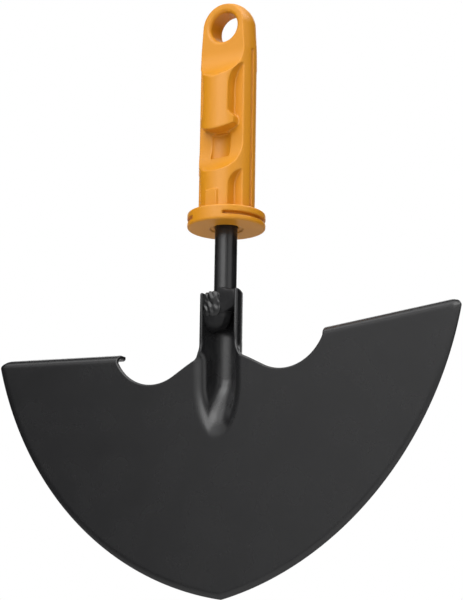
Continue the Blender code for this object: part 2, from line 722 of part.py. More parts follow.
def recess_cutter(side, front, half_width, low, straight, height):
    """Cored recess beside the spine. Its inner side flares out to the shank at the top."""
    wide = 1.3 * PLUG_RADIUS
    outline = [(half_width, low)]
    steps = 7
    last = 0.4 * math.pi
    for step in range(steps + 1):
        angle = last * step / steps
        outline.append((half_width + FLARE_REACH * (1 - math.cos(angle)) / (1 - math.cos(last)),
                        straight + height * math.sin(angle) / math.sin(last)))
    outline += [(wide, outline[-1][1] + 0.3 * height), (wide, low)]
    floor = -RECESS_FLOOR * front
    reach = -front * (1.4 * PLUG_RADIUS - RECESS_FLOOR)
    bm = prism(outline, lambda p: (side * p[0], floor, p[1]), (0, reach, 0))
    on_floor = []
    for edge in bm.edges:
        ends = [corner.co for corner in edge.verts]
        flat = all(abs(end.y - floor) < 1e-7 for end in ends)
        near = all(abs(end.x) < PLUG_RADIUS for end in ends)
        foot = all(abs(end.z - low) < 1e-7 for end in ends)
        if flat and near and not foot:
            on_floor.append(edge)
    bmesh.ops.bevel(bm, geom=on_floor, offset=RECESS_COVE, offset_type="OFFSET",
                    segments=COVE_STEPS, profile=0.5, affect="EDGES", clamp_overlap=True)
    return bm


def wing_guard():
    """What the recess cutters leave standing: the wings at the foot of the spine."""
    wing, spine = WING_WIDTH / 2, SPINE_WIDTH / 2 - 1.0 * MM
    top = WING_TOP + WING_SLOPE * (wing - spine) / (wing - SPINE_WIDTH / 2)
    low = LIP_RISE - 6.0 * MM
    outline = [(-wing, low), (wing, low), (wing, WING_TOP), (spine, top), (-spine, top),
               (-wing, WING_TOP)]
    return prism(outline, lambda p: (p[0], -2 * PLUG_RADIUS, p[1]), (0, 1.8 * PLUG_RADIUS, 0))


def eye_cutter():
    """Bore of the hanging eye, flared where it opens on each flat."""
    bore = EYE_BORE / 2
    face = EYE_THICKNESS / 2
    lip = EYE_LIP_RADIUS
    flare = arc_points((bore + lip, face - lip), lip, math.pi, math.pi / 2 + 0.2, 4)
    out = [(bore + lip, face + lip), (0, face + lip), (0, -face - lip), (bore + lip, -face - lip)]
    profile = [(radius, -height) for radius, height in reversed(flare)]
    profile += flare + out
    bm = turned(profile, steps=48)
    for corner in bm.verts:
        x, y, z = corner.co
        corner.co = (x, z, EYE_RISE - y)
    return bm


def key_body():
    """Locating key on the front of the shank, standing on the collar."""
    half = KEY_WIDTH / 2
    outline = [(-half, -COLLAR_ROUNDING), (half, -COLLAR_ROUNDING),
               (half, KEY_HEIGHT), (-half, KEY_HEIGHT)]
    face = -PLUG_RADIUS - KEY_PROUD
    bm = prism(outline, lambda p: (p[0], face, p[1]), (0, 3 * KEY_PROUD + 1.0 * MM, 0))
    rim = [edge for edge in bm.edges if all(abs(end.co.y - face) < 1e-7 for end in edge.verts)]
    bmesh.ops.bevel(bm, geom=rim, offset=0.35 * MM, offset_type="OFFSET", segments=1,
                    profile=0.5, affect="EDGES")
    return bm


def side_groove_cutter(side):
    """Fine groove down the plug's side, from the eye to the collar."""
    half = SIDE_GROOVE_WIDTH / 2
    inner = PLUG_RADIUS - SIDE_GROOVE_DEPTH
    outline = [(inner, -half), (1.3 * PLUG_RADIUS, -half), (1.3 * PLUG_RADIUS, half), (inner, half)]
    return prism(outline, lambda p: (side * p[0], p[1], 0.0), (0, 0, SIDE_GROOVE_TOP))


def rim_groove_cutter(side):
    """Groove in one side of the collar's rim, which stops short of the front and back."""
    inner = COLLAR_RADIUS - RIM_GROOVE_DEPTH
    outer = COLLAR_RADIUS + 1.0 * MM
    low = -RIM_GROOVE_DROP - RIM_GROOVE_HEIGHT
    profile = [(inner, low), (outer, low), (outer, -RIM_GROOVE_DROP), (inner, -RIM_GROOVE_DROP)]
    start = RIM_BRIDGE_ANGLE if side > 0 else math.pi + RIM_BRIDGE_ANGLE
    return turned(profile, start=start, sweep=math.pi - 2 * RIM_BRIDGE_ANGLE, steps=28)


def make_plug(plastic):
    """Moulded plug: turned blank with its flats, eye, recesses, pocket and grooves cut in."""
    plug = add_object("plug", plug_blank())
    plug.data.materials.append(plastic)
    boolean(plug, add_object("guide_key", key_body()), "UNION")
    guard = add_object("guide_wing_guard", wing_guard())
    half = SPINE_WIDTH / 2
    low_half = LOWER_SPINE_WIDTH / 2
    tools = {"guide_flat_front": flat_cutter(-1), "guide_flat_back": flat_cutter(1)}
    for side, hand in ((-1, "left"), (1, "right")):
        tools["guide_recess_front_" + hand] = recess_cutter(
            side, 1, half, LIP_RISE - 3.0 * MM, RECESS_TOP, FLARE_HEIGHT)
        tools["guide_recess_low_" + hand] = recess_cutter(
            side, 1, low_half, 0.0, LOWER_RECESS_TOP, LOWER_FLARE_HEIGHT)
        tools["guide_recess_back_" + hand] = recess_cutter(
            side, -1, half, 0.0, RECESS_TOP, FLARE_HEIGHT)
        tools["guide_side_groove_" + hand] = side_groove_cutter(side)
        tools["guide_rim_groove_" + hand] = rim_groove_cutter(side)
    tools["guide_pocket"] = pocket_cutter()
    tools["guide_slot"] = slot_cutter()
    tools["guide_eye"] = eye_cutter()
    for name, bm in tools.items():
        tool = add_object(name, bm)
        if name.startswith("guide_recess_front"):
            boolean(tool, guard, "DIFFERENCE")
        boolean(plug, tool, "DIFFERENCE")
    smooth_by_angle(plug, math.radians(24))
    return plug


def build():
    clear_scene()
    paint = material("black paint", BLADE_BLACK, 0.0, 0.38)
    bead = material("painted weld", WELD_BLACK, 0.0, 0.45)
    plastic = material("orange plastic", PLUG_ORANGE, 0.0, 0.42)
    make_blade(paint)
    make_tang(paint)
    make_side_weld("weld_left", -1, 0.4 * MM, math.radians(7), 0.5 * MM, LEFT_WELD_DROP, bead)
    make_side_weld("weld_right", 1, 0.9 * MM, math.radians(2), 0.6 * MM, RIGHT_WELD_DROP, bead)
    make_toe_weld(bead)
    make_plug(plastic)


build()
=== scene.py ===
"""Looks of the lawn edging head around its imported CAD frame. The frame is in metres: the
origin is on the plug's axis at the collar's seat, +Z points up the handle, and the front
of the blade faces -Y. Each finer piece below is built to the frame's sizes and stands for
the node of the same form.

A rise is a height above the blade's tip or, on the plug, above the collar's seat. A run is
a distance along the sheet's back skin, outwards from its middle. An inset is a distance in
from the cutting edge."""

import math

import bmesh
import bpy
from mathutils import Matrix, Vector, noise


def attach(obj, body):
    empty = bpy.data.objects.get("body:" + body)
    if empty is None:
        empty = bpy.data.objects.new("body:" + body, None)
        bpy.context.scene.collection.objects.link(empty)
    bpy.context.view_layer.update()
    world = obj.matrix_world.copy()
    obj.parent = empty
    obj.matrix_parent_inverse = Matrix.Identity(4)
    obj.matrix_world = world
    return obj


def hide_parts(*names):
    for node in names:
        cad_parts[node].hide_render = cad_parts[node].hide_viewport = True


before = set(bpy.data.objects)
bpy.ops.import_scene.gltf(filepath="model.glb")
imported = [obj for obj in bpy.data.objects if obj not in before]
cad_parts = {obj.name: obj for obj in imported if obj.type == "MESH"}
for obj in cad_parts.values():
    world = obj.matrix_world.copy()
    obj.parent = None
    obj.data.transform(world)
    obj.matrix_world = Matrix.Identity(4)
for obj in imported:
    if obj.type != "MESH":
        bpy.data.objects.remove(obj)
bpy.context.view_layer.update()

MM = 0.001
GAP = 0.3 * MM                       # air between the solids

TANG_RADIUS = 5.0 * MM
TANG_TOP = 23.0 * MM
TANG_BOTTOM_RISE = 124.5 * MM
TANG_CHAMFER = 0.8 * MM

PLUG_RADIUS = 12.6 * MM
EYE_RISE = 86.7 * MM
EYE_RADIUS = 11.9 * MM
EYE_BORE = 13.8 * MM
EYE_THICKNESS = 11.0 * MM
EYE_LIP_RADIUS = 1.8 * MM
SCOOP_RADIUS = 16.6 * MM
SCOOP_EASE = 3.5 * MM                # rounding of the scoop's lower end
SCOOP_CLEAR = 0.05 * MM
SCOOP_START = 75.2 * MM
SPINE_WIDTH = 13.0 * MM
RECESS_FLOOR = 5.3 * MM
RECESS_COVE = 2.4 * MM
RECESS_TOP = 55.2 * MM
FLARE_REACH = 5.0 * MM
FLARE_HEIGHT = 12.5 * MM
FLARE_SWEEP = 0.4 * math.pi
LOWER_SPINE_WIDTH = 14.2 * MM
LOWER_RECESS_TOP = 9.8 * MM
LOWER_FLARE_HEIGHT = 8.5 * MM
WING_WIDTH = 17.4 * MM
WING_TOP = 41.9 * MM
WING_SLOPE = 2.6 * MM
WING_OVERLAP = 1.0 * MM              # of the wings' guard with the spine
GUARD_DROP = 6.0 * MM                # of the guard's foot below the lip
RECESS_DROP = 3.0 * MM               # of the recesses' foot below the lip
LIP_RISE = 36.4 * MM
LIP_ARCH = 15.5 * MM
POCKET_RAMP_START = 31.4 * MM
POCKET_RAMP_RADIUS = 18.0 * MM
SLOT_WIDTH = 9.4 * MM
SLOT_DEPTH = 1.9 * MM
SLOT_WALL = 0.3 * MM                 # straight part of the slot's sides
SLOT_BOTTOM = 24.6 * MM
SIDE_GROOVE_WIDTH = 1.6 * MM
SIDE_GROOVE_DEPTH = 1.0 * MM
SIDE_GROOVE_TOP = 75.5 * MM
KEY_WIDTH = 6.2 * MM
KEY_HEIGHT = 8.2 * MM
KEY_PROUD = 0.6 * MM
KEY_DEPTH = 3 * KEY_PROUD + 1.0 * MM
COLLAR_RADIUS = 17.3 * MM
COLLAR_THICKNESS = 6.9 * MM
COLLAR_ROUNDING = 0.9 * MM
RIM_GROOVE_HEIGHT = 1.5 * MM
RIM_GROOVE_DEPTH = 2.2 * MM
RIM_GROOVE_DROP = 3.1 * MM
RIM_BRIDGE_ANGLE = math.radians(27)
RECESS_ROUND_TANG = 14.7 * MM
RECESS_ROUND_TANG_DEPTH = 0.8 * MM
BORE_SPARE = 0.5 * MM

# How far the plug's cutters reach, past its skin
CUT_WIDE, CUT_DEEP = 1.3 * PLUG_RADIUS, 1.4 * PLUG_RADIUS
CUT_SLOT, CUT_FAR = 1.5 * PLUG_RADIUS, 2 * PLUG_RADIUS
CUT_POCKET = 1.05 * PLUG_RADIUS
GUARD_DEPTH = 1.8 * PLUG_RADIUS      # inwards from CUT_FAR
RIM_GROOVE_SPARE = 1.0 * MM
RAMP_OVERRUN = 1.06                  # of the ramp's arc up to the skin
FLARE_SPARE = 0.3                    # of the flare's height, added above it
EYE_LIP_SPARE = 0.1                  # radians left off the lip's quarter round
SCOOP_STEPS, SCOOP_EASE_STEPS, RAMP_STEPS, POCKET_STEPS, FLARE_STEPS = 24, 12, 24, 40, 20

TIP_DROP = 170.5 * MM                # of the blade's tip below the collar's seat
SHEET = 1.8 * MM
EDGE_RADIUS = 151.6 * MM
EDGE_CENTRE_SHIFT = 28.55 * MM
EDGE_THICKNESS = 0.9 * MM
EDGE_ROLL = 3.2 * MM                 # width over which the cutting edge thins
TIP_BACK = 1.0 * MM
BLADE_LEAN = math.radians(2.76)
SHOULDER_RISE = 108.5 * MM
SHOULDER_SLOPE = math.radians(4.08)
NOTCH_RADIUS = 21.6 * MM
NOTCH_CENTRE_X = 33.6 * MM
NOTCH_CENTRE_RISE = 118.1 * MM
NOTCH_FLANK = math.radians(28)
NECK_FILLET = 3.0 * MM
TREAD_DEPTH = 9.0 * MM
TREAD_BEND = 4.0 * MM
TREAD_CORNER = 2.5 * MM
BLANK_CORNER = 3.4 * MM              # the sheet's corner, cut round before it is folded
BLANK_CORNER_REACH = 0.85            # run along that corner for each run back round the bend
TREAD_END_SPLAY = 0.45               # how far the tread's outer end draws in with its depth
NECK_TOP_RISE = 134.8 * MM
NECK_HALF_GIRTH = 17.7 * MM
NECK_BOTTOM_RADIUS = 7.95 * MM
NECK_TOP_FALL = 0.6 * MM             # of the neck's top, from its walls' edges inwards
NECK_TOP_FALL_RUN = 6.0 * MM
NECK_BLEND = 9.0 * MM
FORMED_HALF_WIDTH = 16.0 * MM        # of the flat blank's strip that becomes groove and neck
GROOVE_HALF_WIDTH = 12.4 * MM
GROOVE_SHOULDER_RADIUS = 4.0 * MM
GROOVE_TIP_SOFTNESS = 7.0 * MM       # how much wider the shoulder's radius is at the tip
GROOVE_TIP_RISE = 68.8 * MM
GROOVE_FULL_RISE = 94.0 * MM
GROOVE_DEEP_RISE = 97.2 * MM
CHANNEL_BACK = TANG_RADIUS + GAP + SHEET
EDGE_CENTRE_RISE = math.sqrt(EDGE_RADIUS ** 2 - EDGE_CENTRE_SHIFT ** 2)

# Rows and columns of the blade's net
INSETS = [share * EDGE_ROLL for share in (0.0, 0.12, 0.26, 0.42, 0.6, 0.8, 1.0, 1.25)]
PLAIN_ROWS = (0.5, 0.8)              # below the groove, as shares of its tip's rise
GROOVE_ROWS, GROOVE_ROW_CROWDING = 64, 1.5
BLEND_ROWS, NECK_ROWS = 26, 8
FORMED_COLUMNS, NOTCH_COLUMNS, TREAD_COLUMNS = 56, 56, 48
BEND_ROWS = 16
TREAD_ROWS = (0.1, 0.2, 0.3, 0.4, 0.5, 0.6, 0.7, 0.79, 1.0)
SECTION_STEPS = 192

RIM_ROUNDING = 0.75 * MM             # sheared edges of the sheet, softened by paint
RIM_SEGMENTS = 4
RIM_MARGIN = 1.0 * MM                # width of the faces beside a rim, so that it can be rounded
RIM_SHARPNESS = math.radians(50)
THIN_RIM_SHARE = 0.45                # of the rounding, at the cutting edge
EDGE_SLANT = 0.4 * MM                # of the neck's cut edges, inner corner ahead of the outer
EDGE_SLANT_REACH = 1.0 * MM

WELD_ROOT_ANGLE = math.radians(104)
WELD_ROOT_SHARE = 0.56               # of the neck's half girth
WELD_BITE = 0.15 * MM                # how far the beads sink into the bar and the sheet
WELD_LAP = 0.55 * MM                 # thickness of a bead where it ends on the bar's front
WELD_LEAN = 1.0 * MM                 # from foot to top, forwards
WELD_END_SHARE = 0.6                 # fullness of a bead at its ends
WELD_END_POWER = 6                   # how late it falls to that
WELD_STATIONS, WELD_WALL_STEPS, WELD_STEPS = 36, 6, 8
HEAP_X = 0.8 * MM                    # middle and reach of the heap on a bead's top
HEAP_SPREAD = 2.6 * MM
TOE_LENGTH = 6.9 * MM
TOE_LEFT_RUN = -17.1 * MM
TOE_RIGHT_RUN = 0.5 * MM
# Points over the patch's front, across and back, in millimetres
TOE_CREST = ((2.4, 2.2), (4.6, 0.6), (4.9, -1.7), (3.0, -4.4), (-1.7, -5.4), (-5.2, -5.3))
TOE_OVERLAP = 2.1 * MM
TOE_TAPER = 0.16
TOE_END_SHARE, TOE_END_POWER = 0.15, 4
TOE_STATIONS, TOE_STEPS = 24, 20
TOE_ANCHOR = 8                       # which point of its outline the patch narrows towards
# Noises that shift a bead's ripples, fade them and make its lumps
RIPPLE_DRIFT_SCALE, RIPPLE_DRIFT = 210, 0.7
RIPPLE_FADE_SCALE, RIPPLE_MEAN, RIPPLE_FADE = 300, 0.6, 1.3
LUMP_SCALE = 450

PLUG_VOXEL = 0.26 * MM
WELD_VOXEL = 0.24 * MM
ROUND_STEPS = 128
CLOSING_STEPS = 20
TINY = 1e-7

# Materials. A noise is given by its scale and its detail.
# The second black is a little darker than the first: painted shade for the right bead and the toe
# deep in the channel.
BLACK, SHADED_DULL_BLACK = (0.0125, 0.0125, 0.0132), (0.0115, 0.0115, 0.0122)
PAINT_CLOUD, PAINT_TINTS, PAINT_GLOSS_SPREAD, PAINT_GRAIN = (60, 4), (0.85, 1.18), 0.04, (900, 3)
ORANGE_DARK, ORANGE_LIGHT = (0.63, 0.248, 0.008), (0.675, 0.27, 0.012)
PLASTIC_CLOUD, PLASTIC_GRAIN = (90, 3), (1400, 2)
GRAIN_DEPTH = 0.1 * MM

# Studio. Each square softbox has a name, an azimuth and an elevation in degrees, and watts.
SOFTBOXES = (
    ("front high", 5, 35, 12.6), ("left high", -35, 35, 2.8), ("left top", -35, 60, 5.0),
    ("right top", 25, 60, 5.4), ("back top", 115, 60, 13.5), ("front left", -15, 10, 2.6),
    ("front right", 25, 10, 3.6), ("right", 75, 10, 4.4),
    ("low", -15, -40, 0.9), ("right low", 95, -40, 2.1), ("behind", 213, 33, 6.5))
SOFTBOX_REACH, SOFTBOX_SIZE = 1.5, 1.1
SOFTBOX_AIM = Vector((0, 0, -0.04))
BACKDROP_FADE = (0.72, 0.94)         # cosines off the way straight behind the object
FLOOR_HALF, FLOOR_LEVEL = 3.0, -0.5
FLOOR_FADE = (0.75, 1.5)             # distances from the origin
FLOOR_TONE, FLOOR_ROUGHNESS = 0.64, 0.9

# Camera at the photograph's angle. The focal length is in the photograph's pixels.
CAMERA_TURN, CAMERA_TILT = math.radians(33), math.radians(-14.806)
CAMERA_ROLL = math.radians(0.933)
CAMERA_DISTANCE, CAMERA_FOCAL = 1.0996, 2518.7
CAMERA_AIM = Vector((0.003352, 0.0, 0.131077 - TIP_DROP))
PHOTO_HEIGHT, SENSOR_HEIGHT = 600, 36


# Mesh helpers

def new_object(name, mesh):
    made = bpy.data.objects.new(name, mesh)
    bpy.context.scene.collection.objects.link(made)
    return made


def from_bmesh(name, bm):
    bmesh.ops.recalc_face_normals(bm, faces=bm.faces)
    mesh = bpy.data.meshes.new(name)
    bm.to_mesh(mesh)
    bm.free()
    return new_object(name, mesh)


def discard(item):
    mesh = item.data
    bpy.data.objects.remove(item)
    bpy.data.meshes.remove(mesh)


def baked(item):
    """The object with its modifiers made real. The tools that they used can go afterwards."""
    bpy.context.view_layer.update()
    graph = bpy.context.evaluated_depsgraph_get()
    mesh = bpy.data.meshes.new_from_object(item.evaluated_get(graph))
    name, old = item.name, item.data
    bpy.data.objects.remove(item)
    bpy.data.meshes.remove(old)
    mesh.name = name
    return new_object(name, mesh)


def softened(item, voxel, factor, repeat):
    """Remeshes a body finely and eases its corners, as the mould or the paint rounds them."""
    remesh = item.modifiers.new("fine", "REMESH")
    remesh.mode = "VOXEL"
    remesh.voxel_size = voxel
    ease = item.modifiers.new("ease", "SMOOTH")
    ease.factor = factor
    ease.iterations = repeat
    item = baked(item)
    item.data.shade_smooth()
    return item


def smooth(value):
    value = min(max(value, 0.0), 1.0)
    return value * value * (3 - 2 * value)


def arc_points(centre, radius, start, end, steps):
    points = []
    for step in range(steps + 1):
        angle = start + (end - start) * step / steps
        points.append((centre[0] + radius * math.cos(angle),
                       centre[1] + radius * math.sin(angle)))
    return points


def turned(profile, start=0.0, sweep=2 * math.pi, steps=ROUND_STEPS):
    """Turns a closed (radius, height) outline about Z, as a whole ring or a part of one."""
    bm = bmesh.new()
    corners = []
    for radius, height in profile:
        place = Vector((radius * math.sin(start), -radius * math.cos(start), height))
        corners.append(bm.verts.new(place))
    face = bm.faces.new(corners)
    edges = list(face.edges)
    if abs(sweep - 2 * math.pi) < TINY:
        bmesh.ops.delete(bm, geom=[face], context="FACES_ONLY")
        bmesh.ops.spin(bm, geom=corners + edges, cent=(0, 0, 0), axis=(0, 0, 1),
                       angle=sweep, steps=steps, use_merge=True)
    else:
        bmesh.ops.spin(bm, geom=[face] + corners + edges, cent=(0, 0, 0), axis=(0, 0, 1),
                       angle=sweep, steps=steps)
    bmesh.ops.remove_doubles(bm, verts=bm.verts, dist=TINY)
    loose = [edge for edge in bm.edges if not edge.link_faces]
    bmesh.ops.delete(bm, geom=loose, context="EDGES")
    return bm


def prism(outline, place, reach):
    bm = bmesh.new()
    face = bm.faces.new([bm.verts.new(place(point)) for point in outline])
    grown = bmesh.ops.extrude_face_region(bm, geom=[face])
    moved = [item for item in grown["geom"] if isinstance(item, bmesh.types.BMVert)]
    bmesh.ops.translate(bm, verts=moved, vec=reach)
    return bm


def loft(stations):
    bm = bmesh.new()
    rings = [[bm.verts.new(point) for point in station] for station in stations]
    count = len(rings[0])
    for low, high in zip(rings, rings[1:]):
        for index in range(count):
            after = (index + 1) % count
            bm.faces.new((low[index], low[after], high[after], high[index]))
    bm.faces.new(rings[0])
    bm.faces.new(rings[-1])
    return bm


def span(bm, left, right, rows):
    """Faces between two neighbouring columns of a net, up to a row."""
    for row in range(rows - 1):
        bm.faces.new((left[row], left[row + 1], right[row + 1], right[row]))


def boolean(target, tool, operation):
    tool.hide_render = True
    step = target.modifiers.new(tool.name, "BOOLEAN")
    step.operation = operation
    step.object = tool
    step.solver = "EXACT"


# Blade: its outline

def edge_rise(x, inset):
    reach = EDGE_RADIUS - inset
    return EDGE_CENTRE_RISE - math.sqrt(reach ** 2 - (abs(x) + EDGE_CENTRE_SHIFT) ** 2)


def edge_point(angle, inset):
    x = (EDGE_RADIUS - inset) * math.sin(angle) - EDGE_CENTRE_SHIFT
    return x, EDGE_CENTRE_RISE - (EDGE_RADIUS - inset) * math.cos(angle)


def edge_weight(inset):
    """Share of full thickness regained at a distance from the cutting edge."""
    return 1 - max(1 - inset / EDGE_ROLL, 0.0) ** 2


def shoulder_rise(x):
    """Rise of the tread's top."""
    return SHOULDER_RISE + x * math.tan(SHOULDER_SLOPE)


def flank_rise(x):
    """Rise of the notch's straight flank, which leaves its round bottom as a tangent."""
    foot_x = NOTCH_CENTRE_X - NOTCH_RADIUS * math.sin(NOTCH_FLANK)
    foot_rise = NOTCH_CENTRE_RISE - NOTCH_RADIUS * math.cos(NOTCH_FLANK)
    return foot_rise + (foot_x - x) * math.tan(NOTCH_FLANK)


JOIN_RISE = flank_rise(FORMED_HALF_WIDTH)


def blade_back(rise):
    return TIP_BACK - rise * math.tan(BLADE_LEAN)


def tread_inner_x():
    """Where the tread's bend meets the notch, closed in on by repeated steps."""
    x = NOTCH_CENTRE_X + NOTCH_RADIUS
    for _ in range(CLOSING_STEPS):
        drop = NOTCH_CENTRE_RISE - (shoulder_rise(x) - TREAD_BEND)
        x = NOTCH_CENTRE_X + math.sqrt(NOTCH_RADIUS ** 2 - drop ** 2)
    return x


def tread_outer_x(inset):
    """Where the tread's bend meets the cutting edge, or a line inside that edge."""
    x = EDGE_RADIUS - EDGE_CENTRE_SHIFT
    for _ in range(CLOSING_STEPS):
        drop = EDGE_CENTRE_RISE - (shoulder_rise(x) - TREAD_BEND)
        x = math.sqrt((EDGE_RADIUS - inset) ** 2 - drop ** 2) - EDGE_CENTRE_SHIFT
    return x


def notch_and_tread():
    inner = tread_inner_x()
    drop = NOTCH_CENTRE_RISE - (shoulder_rise(inner) - TREAD_BEND)
    start = -math.pi / 2 - NOTCH_FLANK
    end = math.atan2(-drop, inner - NOTCH_CENTRE_X)
    centre = (NOTCH_CENTRE_X, NOTCH_CENTRE_RISE)
    notch = arc_points(centre, NOTCH_RADIUS, start, end, NOTCH_COLUMNS)[:-1]
    outer = tread_outer_x(INSETS[-1])
    tread = []
    for step in range(TREAD_COLUMNS + 1):
        x = inner + (outer - inner) * step / TREAD_COLUMNS
        tread.append((x, shoulder_rise(x) - TREAD_BEND))
    return notch, tread


# Blade: the sections of its formed strip

def groove_form(rise):
    """Steepest wall angle, bottom radius and shoulder radius of the groove's section. The
    groove is an ellipse in plan below its full width, and deepens smoothly from its tip."""
    length = rise - GROOVE_TIP_RISE
    if length <= 0:
        return 0.0, 1.0, 1.0
    share = min(length / (GROOVE_FULL_RISE - GROOVE_TIP_RISE), 1.0)
    deepened = smooth(length / (GROOVE_DEEP_RISE - GROOVE_TIP_RISE))
    depth = (CHANNEL_BACK - blade_back(rise)) * deepened
    width = GROOVE_HALF_WIDTH * math.sqrt(1 - (1 - share) ** 2)
    turn = 2 * math.atan(depth / width)
    shoulder = GROOVE_SHOULDER_RADIUS + GROOVE_TIP_SOFTNESS * (1 - share) ** 2
    return turn, width / math.sin(turn) - shoulder, shoulder


def groove_slope(run, turn, bottom, shoulder):
    """Wall angle of the groove's section at a distance along the skin."""
    if run < bottom * turn:
        return run / bottom
    return max(turn - (run - bottom * turn) / shoulder, 0.0)


def neck_slope(run):
    """Wall angle of the neck's section, which stands upright at its edge."""
    start = run / NECK_BOTTOM_RADIUS
    spare = NECK_HALF_GIRTH / NECK_BOTTOM_RADIUS - math.pi / 2
    return min(start - spare * (run / NECK_HALF_GIRTH) ** 2, math.pi / 2)


def half_girth(rise):
    """Length of half a section of the formed strip, along the back skin."""
    if rise <= JOIN_RISE:
        turn, bottom, shoulder = groove_form(rise)
        return FORMED_HALF_WIDTH + (bottom + shoulder) * (turn - math.sin(turn))
    start = half_girth(JOIN_RISE)
    lean = math.pi / 2 - NOTCH_FLANK
    setback = NECK_FILLET * math.tan(lean / 2)
    corner = JOIN_RISE + (start - NECK_HALF_GIRTH) * math.tan(NOTCH_FLANK)
    if rise >= corner + setback:
        return NECK_HALF_GIRTH
    if rise <= corner - setback * math.sin(NOTCH_FLANK):
        return start - (rise - JOIN_RISE) / math.tan(NOTCH_FLANK)
    drop = corner + setback - rise
    return NECK_HALF_GIRTH + NECK_FILLET - math.sqrt(NECK_FILLET ** 2 - drop ** 2)


def section(rise):
    """Points along half a section of the back skin, from the middle outwards. Over the blend
    the groove's slopes pass into the neck's."""
    length = half_girth(rise)
    closed = min(max((rise - JOIN_RISE) / NECK_BLEND, 0.0), 1.0)
    open_share = 1 - closed ** 3 * (10 - 15 * closed + 6 * closed ** 2)
    turn, bottom, shoulder = groove_form(rise)
    points = [(0.0, blade_back(rise) + (bottom + shoulder) * (1 - math.cos(turn)))]
    step = length / SECTION_STEPS
    for index in range(SECTION_STEPS):
        run = (index + 0.5) * step
        slope = (open_share * groove_slope(run, turn, bottom, shoulder)
                 + (1 - open_share) * neck_slope(run))
        x, y = points[-1]
        points.append((x + math.cos(slope) * step, y - math.sin(slope) * step))
    if rise <= JOIN_RISE:
        spare_x = FORMED_HALF_WIDTH - points[-1][0]
        spare_y = blade_back(rise) - points[-1][1]
        last = SECTION_STEPS
        points = [(x + spare_x * index / last, y + spare_y * index / last)
                  for index, (x, y) in enumerate(points)]
    return points


def skin_point(points, share):
    """Point at a share of a section's length."""
    place = share * SECTION_STEPS
    index = min(int(place), SECTION_STEPS - 1)
    part = place - index
    low, high = points[index], points[index + 1]
    return low[0] + (high[0] - low[0]) * part, low[1] + (high[1] - low[1]) * part


def wall_point(run, inwards):
    """Point of the straight neck's section, moved inwards from its back skin."""
    x, y = 0.0, CHANNEL_BACK
    step = run / SECTION_STEPS
    for index in range(SECTION_STEPS):
        slope = neck_slope((index + 0.5) * step)
        x += math.cos(slope) * step
        y -= math.sin(slope) * step
    slope = neck_slope(run)
    return x - inwards * math.sin(slope), y - inwards * math.cos(slope)


# Blade: its net

def formed_rows():
    """Rises of the formed strip's rows, up to the join with the flat sides and above it."""
    rows = [GROOVE_TIP_RISE * share for share in PLAIN_ROWS]
    last = JOIN_RISE - RIM_MARGIN
    for step in range(GROOVE_ROWS + 1):
        share = (step / GROOVE_ROWS) ** GROOVE_ROW_CROWDING
        rows.append(GROOVE_TIP_RISE + (last - GROOVE_TIP_RISE) * share)
    rows.append(JOIN_RISE)
    upper = []
    for step in range(1, BLEND_ROWS + 1):
        upper.append(JOIN_RISE + NECK_BLEND * step / BLEND_ROWS)
    low = JOIN_RISE + NECK_BLEND
    high = NECK_TOP_RISE - NECK_TOP_FALL - 2 * RIM_MARGIN
    for step in range(1, NECK_ROWS + 1):
        upper.append(low + (high - low) * step / NECK_ROWS)
    upper.append((high + NECK_TOP_RISE) / 2)
    upper.append(NECK_TOP_RISE)
    return rows, upper


def formed_columns(vertex):
    """Columns of the formed strip, and how many of their points run up to the join. The top
    falls from the walls' edges inwards, and the row below it by half as much."""
    rows, upper = formed_rows()
    sections = [section(rise) for rise in rows + upper]
    columns = []
    last_share = 1 - RIM_MARGIN / math.sin(NOTCH_FLANK) / NECK_HALF_GIRTH
    shares = [last_share * index / FORMED_COLUMNS for index in range(FORMED_COLUMNS + 1)]
    for share in shares + [1.0]:
        x = share * FORMED_HALF_WIDTH
        line = [vertex(x, edge_rise(x, inset), None, edge_weight(inset)) for inset in INSETS]
        for rise, points in zip(rows + upper, sections):
            across, back = skin_point(points, share)
            along = (1 - share) * half_girth(rise)
            short = 0.0
            if rise > NECK_TOP_RISE - NECK_TOP_FALL - RIM_MARGIN:
                short = NECK_TOP_FALL * smooth(along / NECK_TOP_FALL_RUN)
                if rise < NECK_TOP_RISE:
                    short *= 0.5
            line.append(vertex(across, rise - short, back))
        columns.append(line)
    return columns, len(INSETS) + len(rows)


def side_columns(vertex, notch, tread):
    """Columns of the flat side, from the cutting edge up to the notch and the tread's bend."""
    start = math.asin((FORMED_HALF_WIDTH + EDGE_CENTRE_SHIFT) / EDGE_RADIUS)
    deepest = INSETS[-1]
    outer = tread_outer_x(deepest)
    last = math.asin((outer + EDGE_CENTRE_SHIFT) / (EDGE_RADIUS - deepest))
    tops = notch + tread
    columns = []
    for index, (top_x, top_rise) in enumerate(tops[:-1]):
        angle = start + (last - start) * (index + 1) / len(tops)
        line = []
        for inset in INSETS:
            x, rise = edge_point(angle, inset)
            line.append(vertex(x, rise, None, edge_weight(inset)))
        foot_x, foot_rise = edge_point(angle, deepest)
        part = 1 - RIM_MARGIN / math.hypot(top_x - foot_x, top_rise - foot_rise)
        line.append(vertex(foot_x + (top_x - foot_x) * part,
                           foot_rise + (top_rise - foot_rise) * part))
        line.append(vertex(top_x, top_rise))
        columns.append(line)
    return columns


def corner_draw(run):
    """How far the blank's rounded corner draws in the tread's outer end, at a run along it."""
    run = min(max(run, 0.0), BLANK_CORNER)
    return BLANK_CORNER - math.sqrt(BLANK_CORNER ** 2 - run ** 2)


